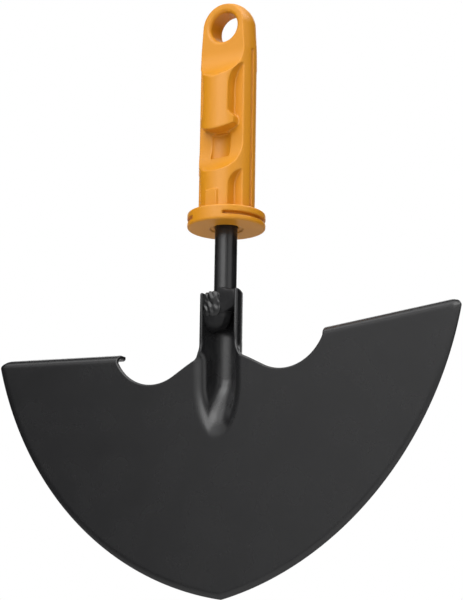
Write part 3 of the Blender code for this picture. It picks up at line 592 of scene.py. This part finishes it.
def fold_tread(bm, vertex, first, tread, weights):
    """Folds the tread back out of the sheet: a bend from the first ring, and then a flat."""
    inner_bend = TREAD_BEND - SHEET
    inner, outer = tread[0][0], tread[-1][0]
    rings = [first]
    places = []
    for step in range(1, BEND_ROWS + 1):
        angle = math.pi / 2 * step / BEND_ROWS
        run = TREAD_BEND * math.sin(angle)
        places.append((inner_bend * (1 - math.cos(angle)), inner_bend * math.sin(angle), 0.0,
                       corner_draw(run * BLANK_CORNER_REACH)))
    flat = TREAD_DEPTH - TREAD_BEND
    for share in TREAD_ROWS:
        draw = corner_draw(TREAD_BEND * BLANK_CORNER_REACH) + TREAD_END_SPLAY * flat * share
        places.append((inner_bend + flat * share, inner_bend, share ** 2, draw))
    for back, up, share, draw in places:
        shrink = 1 - draw / (outer - inner)
        ring = []
        for (x, _), weight in zip(tread, weights):
            near = (x - inner) / TREAD_CORNER
            short = TREAD_CORNER * (1 - smooth(near)) * share
            across = inner + (x - inner) * shrink
            rise = shoulder_rise(across) - TREAD_BEND
            ring.append(vertex(across, rise + up, blade_back(rise) + back - short, weight))
        rings.append(ring)
    for low, high in zip(rings, rings[1:]):
        for index in range(len(low) - 1):
            bm.faces.new((low[index], high[index], high[index + 1], low[index + 1]))


def blade_blank():
    """Back skin of the blade's right half, and each corner's share of the full thickness."""
    bm = bmesh.new()
    weights = []

    def vertex(x, rise, y=None, weight=1.0):
        y = blade_back(rise) if y is None else y
        weights.append(weight)
        return bm.verts.new((x, y, rise - TIP_DROP))

    formed, joined = formed_columns(vertex)
    for left, right in zip(formed, formed[1:]):
        span(bm, left, right, len(left))

    notch, tread = notch_and_tread()
    sides = side_columns(vertex, notch, tread)
    count = len(INSETS)
    before, first = formed[-1][:joined], sides[0]
    span(bm, before, first, count)
    # One face with many corners joins the strip's many rows to the flat side's few.
    bm.faces.new(before[count - 1:-1] + first[count:count - 2:-1])
    bm.faces.new((before[-2], before[-1], first[-1], first[-2]))
    for left, right in zip(sides, sides[1:]):
        span(bm, left, right, len(left))

    corners = []
    for inset in reversed(INSETS):
        x = tread_outer_x(inset)
        corners.append(vertex(x, shoulder_rise(x) - TREAD_BEND, None, edge_weight(inset)))
    final = sides[-1]
    bm.faces.new((final[-1], final[-2], corners[0]))
    bm.faces.new((final[-2], final[count - 1], corners[0]))
    span(bm, final, corners[::-1], count)
    tread_ring = tread[:-1]
    for inset in reversed(INSETS):
        x = tread_outer_x(inset)
        tread_ring.append((x, shoulder_rise(x) - TREAD_BEND))
    ring = [line[-1] for line in sides[len(notch):]] + corners
    along = [1.0] * (len(tread) - 1) + [edge_weight(inset) for inset in reversed(INSETS)]
    fold_tread(bm, vertex, ring, tread_ring, along)
    bmesh.ops.recalc_face_normals(bm, faces=bm.faces)
    bm.faces.ensure_lookup_table()
    if bm.faces[0].normal.y < 0:
        bmesh.ops.reverse_faces(bm, faces=bm.faces)
    return bm, weights


def weigh_rims(blade):
    """Marks the sharp edges to be rounded: fully at the plain rims, less at the thin edge."""
    bm = bmesh.new()
    bm.from_mesh(blade.data)
    weight = bm.edges.layers.float.new("bevel_weight_edge")
    for edge in bm.edges:
        if len(edge.link_faces) == 2 and edge.calc_face_angle() > RIM_SHARPNESS:
            middle = (edge.verts[0].co + edge.verts[1].co) / 2
            reach = math.hypot(abs(middle.x) + EDGE_CENTRE_SHIFT,
                               middle.z + TIP_DROP - EDGE_CENTRE_RISE)
            edge[weight] = THIN_RIM_SHARE if reach > EDGE_RADIUS - EDGE_ROLL else 1.0
    bm.to_mesh(blade.data)
    bm.free()


def slant_neck_edges(blade):
    """Brings the inner corner of the neck's cut edges forward, as the shears leave them."""
    outer_x, edge_y = wall_point(NECK_HALF_GIRTH, 0.0)
    for vertex in blade.data.vertices:
        x, y, z = vertex.co
        inner = min(max((outer_x - abs(x)) / SHEET, 0.0), 1.0)
        if z + TIP_DROP > JOIN_RISE + NECK_BLEND and y < edge_y + EDGE_SLANT_REACH:
            near = smooth((edge_y + EDGE_SLANT_REACH - y) / EDGE_SLANT_REACH)
            vertex.co.y -= EDGE_SLANT * inner * near


def make_blade(paint):
    bm, weights = blade_blank()
    mesh = bpy.data.meshes.new("blade_pressing")
    bm.to_mesh(mesh)
    bm.free()
    blade = new_object("blade_pressing", mesh)
    full = blade.vertex_groups.new(name="full_thickness")
    for index, weight in enumerate(weights):
        full.add([index], weight, "REPLACE")
    mirror = blade.modifiers.new("other half", "MIRROR")
    mirror.use_axis = (True, False, False)
    mirror.merge_threshold = 0.01 * MM
    sheet = blade.modifiers.new("sheet", "SOLIDIFY")
    sheet.thickness = SHEET
    sheet.offset = -1.0
    sheet.use_even_offset = True
    sheet.vertex_group = full.name
    sheet.thickness_vertex_group = EDGE_THICKNESS / SHEET
    blade = baked(blade)
    weigh_rims(blade)
    rim = blade.modifiers.new("rim", "BEVEL")
    rim.width = RIM_ROUNDING
    rim.segments = RIM_SEGMENTS
    rim.limit_method = "WEIGHT"
    rim.use_clamp_overlap = False
    blade = baked(blade)
    slant_neck_edges(blade)
    blade.data.shade_smooth()
    blade.data.materials.append(paint)
    return blade


# Tang and welds

def make_tang(paint):
    low = TANG_BOTTOM_RISE - TIP_DROP
    ease = TANG_RADIUS - TANG_CHAMFER
    profile = [(0, low), (ease, low)]
    profile += [(TANG_RADIUS, low + TANG_CHAMFER), (TANG_RADIUS, TANG_TOP - TANG_CHAMFER)]
    profile += [(ease, TANG_TOP), (0, TANG_TOP)]
    tang = from_bmesh("tang_bar", turned(profile))
    tang.data.shade_smooth()
    tang.data.set_sharp_from_angle(angle=math.radians(30))
    tang.data.materials.append(paint)
    return tang


def rod_point(angle, proud):
    reach = TANG_RADIUS + proud
    return reach * math.sin(angle), -reach * math.cos(angle)


def rippled(bead, across, pitch, height, lumps, seed):
    """Slanting ripples and small lumps on a bead. Across is the way from ripple to ripple."""
    moved = []
    for vertex in bead.data.vertices:
        place = vertex.co.copy()
        drift = noise.noise(place * RIPPLE_DRIFT_SCALE + seed)
        strong = RIPPLE_MEAN + RIPPLE_FADE * noise.noise(place * RIPPLE_FADE_SCALE - seed)
        wave = math.sin(2 * math.pi * (place.dot(across) / pitch + RIPPLE_DRIFT * drift))
        rough = noise.noise(place * LUMP_SCALE + seed)
        moved.append(place + vertex.normal * (height * strong * wave + lumps * rough))
    for vertex, place in zip(bead.data.vertices, moved):
        vertex.co = place


def side_bead(name, side, wall_reach, rod_angle, crown, drops, slant, heap):
    """Bead in the corner between the tang and one wall of the channel. It starts on the wall
    at wall_reach from the wall's edge and ends on the tang at rod_angle, and bulges by crown
    between them. Drops are its foot's and its top's distance below the neck's top. The foot
    is lower towards the middle of the channel, by slant times the way across, and the top is
    heaped over the tang by heap."""
    low_rise, top_rise = NECK_TOP_RISE - drops[0], NECK_TOP_RISE - drops[1]
    root_run = WELD_ROOT_SHARE * NECK_HALF_GIRTH
    toe_run = NECK_HALF_GIRTH - wall_reach
    stations = []
    for index in range(WELD_STATIONS + 1):
        share = index / WELD_STATIONS
        ending = abs(2 * share - 1) ** WELD_END_POWER
        fullness = WELD_END_SHARE + (1 - WELD_END_SHARE) * math.sqrt(1 - ending)
        toe = root_run + (toe_run - root_run) * fullness
        turn = WELD_ROOT_ANGLE + (rod_angle - WELD_ROOT_ANGLE) * fullness
        lean = WELD_LEAN * (share - 0.5)
        wall = []
        for step in range(WELD_WALL_STEPS + 1):
            run = root_run + (toe - root_run) * step / WELD_WALL_STEPS
            wall.append(wall_point(run, SHEET - WELD_BITE))
        rod = [rod_point(turn + (WELD_ROOT_ANGLE - turn) * step / WELD_STEPS, -WELD_BITE)
               for step in range(WELD_STEPS + 1)]
        start, over = wall[-1], rod_point(turn, WELD_LAP * fullness)
        front = []
        for step in range(1, WELD_STEPS + 1):
            part = step / WELD_STEPS
            bulge = crown * fullness * math.sin(math.pi * part)
            front.append((start[0] + (over[0] - start[0]) * part,
                          start[1] + (over[1] - start[1]) * part - bulge - lean))
        station = []
        for x, y in wall + front + rod:
            foot = low_rise + slant * (x - TANG_RADIUS)
            crest = top_rise + heap * math.exp(-((x - HEAP_X) / HEAP_SPREAD) ** 2)
            station.append((side * x, y, foot + (crest - foot) * share - TIP_DROP))
        stations.append(station)
    return softened(from_bmesh(name, loft(stations)), WELD_VOXEL, factor=0.5, repeat=5)


def toe_bead():
    """Patch under the tang's lower end, heaped against the left wall."""
    outline = []
    for step in range(TOE_STEPS + 1):
        run = TOE_LEFT_RUN + (TOE_RIGHT_RUN - TOE_LEFT_RUN) * step / TOE_STEPS
        x, y = wall_point(abs(run), SHEET - WELD_BITE)
        outline.append((math.copysign(x, run), y))
    outline += [(across * MM, back * MM) for across, back in TOE_CREST]
    anchor = outline[TOE_ANCHOR]
    stations = []
    for index in range(TOE_STATIONS + 1):
        share = index / TOE_STATIONS
        fullness = (1 - TOE_TAPER * share) * math.sqrt(1 - share ** TOE_END_POWER)
        fullness = max(fullness, TOE_END_SHARE)
        height = TANG_BOTTOM_RISE + TOE_OVERLAP - (TOE_LENGTH + TOE_OVERLAP) * share - TIP_DROP
        stations.append([(anchor[0] + (x - anchor[0]) * fullness,
                          anchor[1] + (y - anchor[1]) * fullness, height) for x, y in outline])
    return softened(from_bmesh("toe_bead", loft(stations)), WELD_VOXEL, factor=0.5, repeat=8)


def make_beads(paint, dull):
    left = side_bead("left_bead", -1, wall_reach=0.2 * MM, rod_angle=math.radians(-8),
                     crown=0.9 * MM, drops=(11.6 * MM, 0.3 * MM), slant=0.0, heap=0.4 * MM)
    rippled(left, across=Vector((0.9, 0.0, 0.44)), pitch=3.3 * MM, height=0.3 * MM,
            lumps=0.34 * MM, seed=Vector((3.1, 0.4, 7.7)))
    right = side_bead("right_bead", 1, wall_reach=0.3 * MM, rod_angle=math.radians(-12),
                      crown=0.0, drops=(8.9 * MM, -0.3 * MM), slant=0.5, heap=1.3 * MM)
    rippled(right, across=Vector((0.25, 0.1, 0.96)), pitch=7.5 * MM, height=0.04 * MM,
            lumps=0.07 * MM, seed=Vector((9.2, 5.5, 1.3)))
    toe = toe_bead()
    rippled(toe, across=Vector((0.5, 0.2, 0.84)), pitch=6.0 * MM, height=0.04 * MM,
            lumps=0.08 * MM, seed=Vector((1.9, 8.1, 4.6)))
    # The right bead and the toe take the darker paint, whose darker colour is painted shade.
    for bead, coat in ((left, paint), (right, dull), (toe, dull)):
        bead.data.shade_smooth()
        bead.data.materials.append(coat)
    return left, right, toe


# Plug

def plug_blank():
    bore = TANG_RADIUS + GAP
    recess = RECESS_ROUND_TANG / 2
    under = -COLLAR_THICKNESS
    ease = COLLAR_ROUNDING
    profile = [(0, TANG_TOP + BORE_SPARE), (bore, TANG_TOP + BORE_SPARE),
               (bore, under + RECESS_ROUND_TANG_DEPTH), (recess, under + RECESS_ROUND_TANG_DEPTH),
               (recess, under)]
    profile += arc_points((COLLAR_RADIUS - ease, under + ease), ease, -math.pi / 2, 0, steps=8)
    profile += arc_points((COLLAR_RADIUS - ease, -ease), ease, 0, math.pi / 2, steps=8)
    profile += [(PLUG_RADIUS, 0), (PLUG_RADIUS, SCOOP_START)]
    profile += arc_points((0, EYE_RISE), EYE_RADIUS, 0, math.pi / 2, steps=40)
    return turned(profile)


def flat_cutter(side):
    """Cuts the flat beside the eye and the scoop below it, which ends in a soft rounding."""
    face = EYE_THICKNESS / 2
    both = SCOOP_RADIUS + SCOOP_EASE
    out = PLUG_RADIUS + SCOOP_CLEAR
    sweep = math.acos(1 - (out - face) / both)
    outline = [(face, EYE_RISE + CUT_FAR)]
    for step in range(SCOOP_STEPS + 1):
        angle = sweep * step / SCOOP_STEPS
        outline.append((face + SCOOP_RADIUS * (1 - math.cos(angle)),
                        SCOOP_START - SCOOP_RADIUS * math.sin(angle)))
    for step in range(1, SCOOP_EASE_STEPS + 1):
        angle = sweep * (1 - step / SCOOP_EASE_STEPS)
        outline.append((out - SCOOP_EASE * (1 - math.cos(angle)),
                        SCOOP_START - both * math.sin(sweep) + SCOOP_EASE * math.sin(angle)))
    outline += [(CUT_FAR, outline[-1][1]), (CUT_FAR, EYE_RISE + CUT_FAR)]
    return prism(outline, lambda p: (-CUT_WIDE, side * p[0], p[1]), (2 * CUT_WIDE, 0, 0))


def pocket_cutter():
    """Cuts the lock pocket: an arched lip above, a flat floor, and a ramp down and out."""
    ramp_depth = PLUG_RADIUS - RECESS_FLOOR
    sweep = math.acos(1 - ramp_depth / POCKET_RAMP_RADIUS) * RAMP_OVERRUN
    ramp = []
    for step in range(RAMP_STEPS + 1):
        angle = sweep * step / RAMP_STEPS
        ramp.append((-RECESS_FLOOR - POCKET_RAMP_RADIUS * (1 - math.cos(angle)),
                     POCKET_RAMP_START - POCKET_RAMP_RADIUS * math.sin(angle)))
    stations = []
    for step in range(POCKET_STEPS + 1):
        x = CUT_POCKET * (2 * step / POCKET_STEPS - 1)
        lip = LIP_RISE + LIP_ARCH - math.sqrt(LIP_ARCH ** 2 - x ** 2)
        outline = [(-RECESS_FLOOR, lip)] + ramp + [(-CUT_FAR, ramp[-1][1]), (-CUT_FAR, lip)]
        stations.append([(x, y, height) for y, height in outline])
    return loft(stations)


def slot_cutter():
    """Cuts the hollow for the catch: a shallow round floor between straight sides."""
    half = SLOT_WIDTH / 2
    hollow = SLOT_DEPTH - SLOT_WALL
    radius = (half ** 2 + hollow ** 2) / (2 * hollow)
    spread = math.asin(half / radius)
    centre = (0, -RECESS_FLOOR + SLOT_WALL + hollow - radius)
    outline = arc_points(centre, radius, math.pi / 2 - spread, math.pi / 2 + spread, steps=30)
    outline += [(-half, -CUT_SLOT), (half, -CUT_SLOT)]
    top = LIP_RISE - GAP
    return prism(outline, lambda p: (p[0], p[1], SLOT_BOTTOM), (0, 0, top - SLOT_BOTTOM))


def recess_cutter(side, front, half_width, low, straight, height):
    """Cuts a recess beside the spine. Its side runs straight up to a height and then flares
    out over the next height. A cove rounds the floor's corners."""
    outline = [(half_width, low)]
    for step in range(FLARE_STEPS + 1):
        angle = FLARE_SWEEP * step / FLARE_STEPS
        out = FLARE_REACH * (1 - math.cos(angle)) / (1 - math.cos(FLARE_SWEEP))
        outline.append((half_width + out,
                        straight + height * math.sin(angle) / math.sin(FLARE_SWEEP)))
    outline += [(CUT_WIDE, outline[-1][1] + FLARE_SPARE * height), (CUT_WIDE, low)]
    floor = -RECESS_FLOOR * front
    reach = -front * (CUT_DEEP - RECESS_FLOOR)
    bm = prism(outline, lambda p: (side * p[0], floor, p[1]), (0, reach, 0))
    on_floor = []
    for edge in bm.edges:
        ends = [corner.co for corner in edge.verts]
        flat = all(abs(end.y - floor) < TINY for end in ends)
        near = all(abs(end.x) < PLUG_RADIUS for end in ends)
        foot = all(abs(end.z - low) < TINY for end in ends)
        if flat and near and not foot:
            on_floor.append(edge)
    bmesh.ops.bevel(bm, geom=on_floor, offset=RECESS_COVE, offset_type="OFFSET",
                    segments=10, profile=0.5, affect="EDGES", clamp_overlap=True)
    return bm


def wing_guard():
    """Keeps the front recesses off the wings at the spine's foot."""
    wing, spine = WING_WIDTH / 2, SPINE_WIDTH / 2 - WING_OVERLAP
    top = WING_TOP + WING_SLOPE * (wing - spine) / (wing - SPINE_WIDTH / 2)
    low = LIP_RISE - GUARD_DROP
    outline = [(-wing, low), (wing, low), (wing, WING_TOP), (spine, top), (-spine, top),
               (-wing, WING_TOP)]
    return prism(outline, lambda p: (p[0], -CUT_FAR, p[1]), (0, GUARD_DEPTH, 0))


def eye_cutter():
    """Cuts the hanging eye's bore, front to back, with a rounded lip at each face."""
    bore = EYE_BORE / 2
    face = EYE_THICKNESS / 2
    lip = EYE_LIP_RADIUS
    last = math.pi / 2 + EYE_LIP_SPARE
    flare = arc_points((bore + lip, face - lip), lip, math.pi, last, steps=12)
    out = [(bore + lip, face + lip), (0, face + lip), (0, -face - lip), (bore + lip, -face - lip)]
    profile = [(radius, -height) for radius, height in reversed(flare)]
    profile += flare + out
    bm = turned(profile)
    for corner in bm.verts:
        x, y, z = corner.co
        corner.co = (x, z, EYE_RISE - y)
    return bm


def key_body():
    half = KEY_WIDTH / 2
    outline = [(-half, -COLLAR_ROUNDING), (half, -COLLAR_ROUNDING),
               (half, KEY_HEIGHT), (-half, KEY_HEIGHT)]
    face = -PLUG_RADIUS - KEY_PROUD
    return prism(outline, lambda p: (p[0], face, p[1]), (0, KEY_DEPTH, 0))


def side_groove_cutter(side):
    half = SIDE_GROOVE_WIDTH / 2
    inner = PLUG_RADIUS - SIDE_GROOVE_DEPTH
    outline = [(inner, -half), (CUT_WIDE, -half), (CUT_WIDE, half), (inner, half)]
    return prism(outline, lambda p: (side * p[0], p[1], 0.0), (0, 0, SIDE_GROOVE_TOP))


def rim_groove_cutter(side):
    inner = COLLAR_RADIUS - RIM_GROOVE_DEPTH
    outer = COLLAR_RADIUS + RIM_GROOVE_SPARE
    low = -RIM_GROOVE_DROP - RIM_GROOVE_HEIGHT
    profile = [(inner, low), (outer, low), (outer, -RIM_GROOVE_DROP), (inner, -RIM_GROOVE_DROP)]
    start = RIM_BRIDGE_ANGLE if side > 0 else math.pi + RIM_BRIDGE_ANGLE
    return turned(profile, start=start, sweep=math.pi - 2 * RIM_BRIDGE_ANGLE, steps=60)


def make_plug(plastic):
    plug = from_bmesh("plug_moulding", plug_blank())
    tools = []

    def use(target, name, bm, operation="DIFFERENCE"):
        tool = from_bmesh(name, bm)
        tools.append(tool)
        boolean(target, tool, operation)
        return tool

    use(plug, "cut_key", key_body(), "UNION")
    guard = from_bmesh("cut_guard", wing_guard())
    tools.append(guard)
    half = SPINE_WIDTH / 2
    low_half = LOWER_SPINE_WIDTH / 2
    use(plug, "cut_flat_front", flat_cutter(-1))
    use(plug, "cut_flat_back", flat_cutter(1))
    for side in (-1, 1):
        cut = use(plug, "cut_front", recess_cutter(side, 1, half, LIP_RISE - RECESS_DROP,
                                                   RECESS_TOP, FLARE_HEIGHT))
        boolean(cut, guard, "DIFFERENCE")
        use(plug, "cut_low", recess_cutter(side, 1, low_half, 0.0, LOWER_RECESS_TOP,
                                           LOWER_FLARE_HEIGHT))
        use(plug, "cut_back", recess_cutter(side, -1, half, 0.0, RECESS_TOP, FLARE_HEIGHT))
        use(plug, "cut_side", side_groove_cutter(side))
        use(plug, "cut_rim", rim_groove_cutter(side))
    use(plug, "cut_pocket", pocket_cutter())
    use(plug, "cut_slot", slot_cutter())
    use(plug, "cut_eye", eye_cutter())
    plug = softened(plug, PLUG_VOXEL, factor=0.6, repeat=6)
    for tool in tools:
        discard(tool)
    plug.data.materials.clear()
    plug.data.materials.append(plastic)
    return plug


# Materials

def new_material(name):
    made = bpy.data.materials.new(name)
    made.use_nodes = True
    return made, made.node_tree, made.node_tree.nodes["Principled BSDF"]


def surface(name, tints, roughnesses, cloud, grain, strength, specular):
    """Colour and gloss clouded between two tints and two roughnesses, over a fine grain."""
    made, tree, shader = new_material(name)
    nodes, links = tree.nodes, tree.links
    place = nodes.new("ShaderNodeTexCoord")

    def field(scale, detail):
        spots = nodes.new("ShaderNodeTexNoise")
        spots.inputs["Scale"].default_value = scale
        spots.inputs["Detail"].default_value = detail
        links.new(place.outputs["Object"], spots.inputs["Vector"])
        return spots.outputs["Fac"]

    clouds = field(*cloud)
    tint = nodes.new("ShaderNodeMix")
    tint.data_type = "RGBA"
    # For colours, a mix has its share at input 0, the two at 6 and 7 and its result at 2.
    tint.inputs[6].default_value, tint.inputs[7].default_value = [(*part, 1) for part in tints]
    links.new(clouds, tint.inputs[0])
    links.new(tint.outputs[2], shader.inputs["Base Color"])
    gloss = nodes.new("ShaderNodeMapRange")
    gloss.inputs["To Min"].default_value, gloss.inputs["To Max"].default_value = roughnesses
    links.new(clouds, gloss.inputs["Value"])
    links.new(gloss.outputs["Result"], shader.inputs["Roughness"])
    bump = nodes.new("ShaderNodeBump")
    bump.inputs["Strength"].default_value = strength
    bump.inputs["Distance"].default_value = GRAIN_DEPTH
    links.new(field(*grain), bump.inputs["Height"])
    links.new(bump.outputs["Normal"], shader.inputs["Normal"])
    shader.inputs["Specular IOR Level"].default_value = specular
    return made


def paint_surface(name, colour, roughness, strength, specular):
    tints = [[share * part for part in colour] for share in PAINT_TINTS]
    roughnesses = (roughness - PAINT_GLOSS_SPREAD, roughness + PAINT_GLOSS_SPREAD)
    return surface(name, tints, roughnesses, PAINT_CLOUD, PAINT_GRAIN, strength, specular)


sheet_paint = paint_surface("satin black paint", BLACK, 0.27, strength=0.25, specular=0.5)
bead_paint = paint_surface("satin black paint on weld", BLACK, 0.3, strength=0.35, specular=0.5)
# Paint for the right bead and the toe: rougher and less glossy than the sheet's, and a little
# darker in colour, which is painted shade.
shaded_dull_paint = paint_surface("dull black weld paint with painted shade", SHADED_DULL_BLACK, 0.38, strength=0.5,
                           specular=0.22)
orange_plastic = surface("moulded orange plastic", (ORANGE_DARK, ORANGE_LIGHT), (0.36, 0.46),
                         PLASTIC_CLOUD, PLASTIC_GRAIN, strength=0.12, specular=0.42)


# The object

def stands_for(piece, node):
    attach(piece, "root")
    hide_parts(node)


stands_for(make_blade(sheet_paint), "blade")
stands_for(make_tang(sheet_paint), "tang")
stands_for(make_plug(orange_plastic), "plug")
BEAD_NODES = ("weld_left", "weld_right", "weld_toe")
for bead, node in zip(make_beads(bead_paint, shaded_dull_paint), BEAD_NODES):
    stands_for(bead, node)


# Studio

def add_softbox(name, azimuth, elevation, power):
    """Softbox round the object: azimuth 0 is in front of the blade and 90 on its right."""
    turn, tilt = math.radians(azimuth), math.radians(elevation)
    place = SOFTBOX_AIM + SOFTBOX_REACH * Vector((math.sin(turn) * math.cos(tilt),
                                                  -math.cos(turn) * math.cos(tilt),
                                                  math.sin(tilt)))
    lamp = bpy.data.lights.new(name, "AREA")
    lamp.shape = "RECTANGLE"
    lamp.size = SOFTBOX_SIZE
    lamp.size_y = SOFTBOX_SIZE
    lamp.energy = power
    box = bpy.data.objects.new(name, lamp)
    bpy.context.scene.collection.objects.link(box)
    box.location = place
    box.rotation_euler = (SOFTBOX_AIM - place).to_track_quat("-Z", "Y").to_euler()


def combined(tree, operation, first, second):
    node = tree.nodes.new("ShaderNodeMath")
    node.operation = operation
    tree.links.new(first, node.inputs[0])
    tree.links.new(second, node.inputs[1])
    return node.outputs["Value"]


def faded(tree, value, limits):
    """Rises smoothly from 0 to 1 as the value goes from one limit to the other."""
    node = tree.nodes.new("ShaderNodeMapRange")
    node.interpolation_type = "SMOOTHSTEP"
    node.inputs["From Min"].default_value, node.inputs["From Max"].default_value = limits
    tree.links.new(value, node.inputs["Value"])
    return node.outputs["Result"]


def seen(tree, path):
    """1 for what the camera sees, straight or through clear things, and otherwise 0."""
    return combined(tree, "MAXIMUM", path.outputs["Is Camera Ray"],
                    path.outputs["Is Transmission Ray"])


def set_background():
    """White for the camera, through clear things and in gloss. In gloss it is a backdrop
    behind the object, a good deal wider than the picture, in a dark studio."""
    world = bpy.data.worlds.new("studio")
    bpy.context.scene.world = world
    world.use_nodes = True
    tree = world.node_tree
    background = tree.nodes["Background"]
    background.inputs["Color"].default_value = (1, 1, 1, 1)
    path = tree.nodes.new("ShaderNodeLightPath")
    way = tree.nodes.new("ShaderNodeTexCoord")
    behind = tree.nodes.new("ShaderNodeVectorMath")
    behind.operation = "DOT_PRODUCT"
    behind.inputs[1].default_value = (-math.sin(CAMERA_TURN), math.cos(CAMERA_TURN), 0)
    tree.links.new(way.outputs["Generated"], behind.inputs[0])
    backdrop = faded(tree, behind.outputs["Value"], BACKDROP_FADE)
    in_gloss = combined(tree, "MULTIPLY", path.outputs["Is Glossy Ray"], backdrop)
    strength = combined(tree, "MAXIMUM", seen(tree, path), in_gloss)
    tree.links.new(strength, background.inputs["Strength"])


def make_floor():
    """Pale floor, which passes into the background's white away from the object."""
    mesh = bpy.data.meshes.new("floor")
    corners = [(x * FLOOR_HALF, y * FLOOR_HALF, FLOOR_LEVEL)
               for x, y in ((-1, -1), (1, -1), (1, 1), (-1, 1))]
    mesh.from_pydata(corners, [], [(0, 1, 2, 3)])
    pale, tree, shader = new_material("pale floor")
    shader.inputs["Base Color"].default_value = (FLOOR_TONE, FLOOR_TONE, FLOOR_TONE, 1)
    shader.inputs["Roughness"].default_value = FLOOR_ROUGHNESS
    place = tree.nodes.new("ShaderNodeTexCoord")
    out = tree.nodes.new("ShaderNodeVectorMath")
    out.operation = "LENGTH"
    tree.links.new(place.outputs["Object"], out.inputs[0])
    far_off = faded(tree, out.outputs["Value"], FLOOR_FADE)
    path = tree.nodes.new("ShaderNodeLightPath")
    white = tree.nodes.new("ShaderNodeEmission")
    white.inputs["Color"].default_value = (1, 1, 1, 1)
    white.inputs["Strength"].default_value = 1.0
    passing = tree.nodes.new("ShaderNodeMixShader")
    tree.links.new(combined(tree, "MULTIPLY", seen(tree, path), far_off), passing.inputs[0])
    tree.links.new(shader.outputs["BSDF"], passing.inputs[1])
    tree.links.new(white.outputs["Emission"], passing.inputs[2])
    tree.links.new(passing.outputs["Shader"], tree.nodes["Material Output"].inputs["Surface"])
    mesh.materials.append(pale)
    return new_object("floor", mesh)


def add_camera():
    turn, tilt, roll = CAMERA_TURN, CAMERA_TILT, CAMERA_ROLL
    forward = Vector((-math.sin(turn) * math.cos(tilt), math.cos(turn) * math.cos(tilt),
                      -math.sin(tilt)))
    level_right = Vector((math.cos(turn), math.sin(turn), 0))
    level_up = level_right.cross(forward)
    right = math.cos(roll) * level_right + math.sin(roll) * level_up
    up = -math.sin(roll) * level_right + math.cos(roll) * level_up
    lens = bpy.data.cameras.new("camera")
    lens.sensor_fit = "VERTICAL"
    lens.sensor_width = lens.sensor_height = SENSOR_HEIGHT
    lens.lens = CAMERA_FOCAL * SENSOR_HEIGHT / PHOTO_HEIGHT
    camera = bpy.data.objects.new("camera", lens)
    bpy.context.scene.collection.objects.link(camera)
    pose = Matrix((right, up, -forward)).transposed().to_4x4()
    pose.translation = CAMERA_AIM - CAMERA_DISTANCE * forward
    camera.matrix_world = pose
    return camera


for box in SOFTBOXES:
    add_softbox(*box)
set_background()
floor = make_floor()
bpy.context.scene.camera = add_camera()
bpy.context.scene.view_settings.view_transform = "Standard"
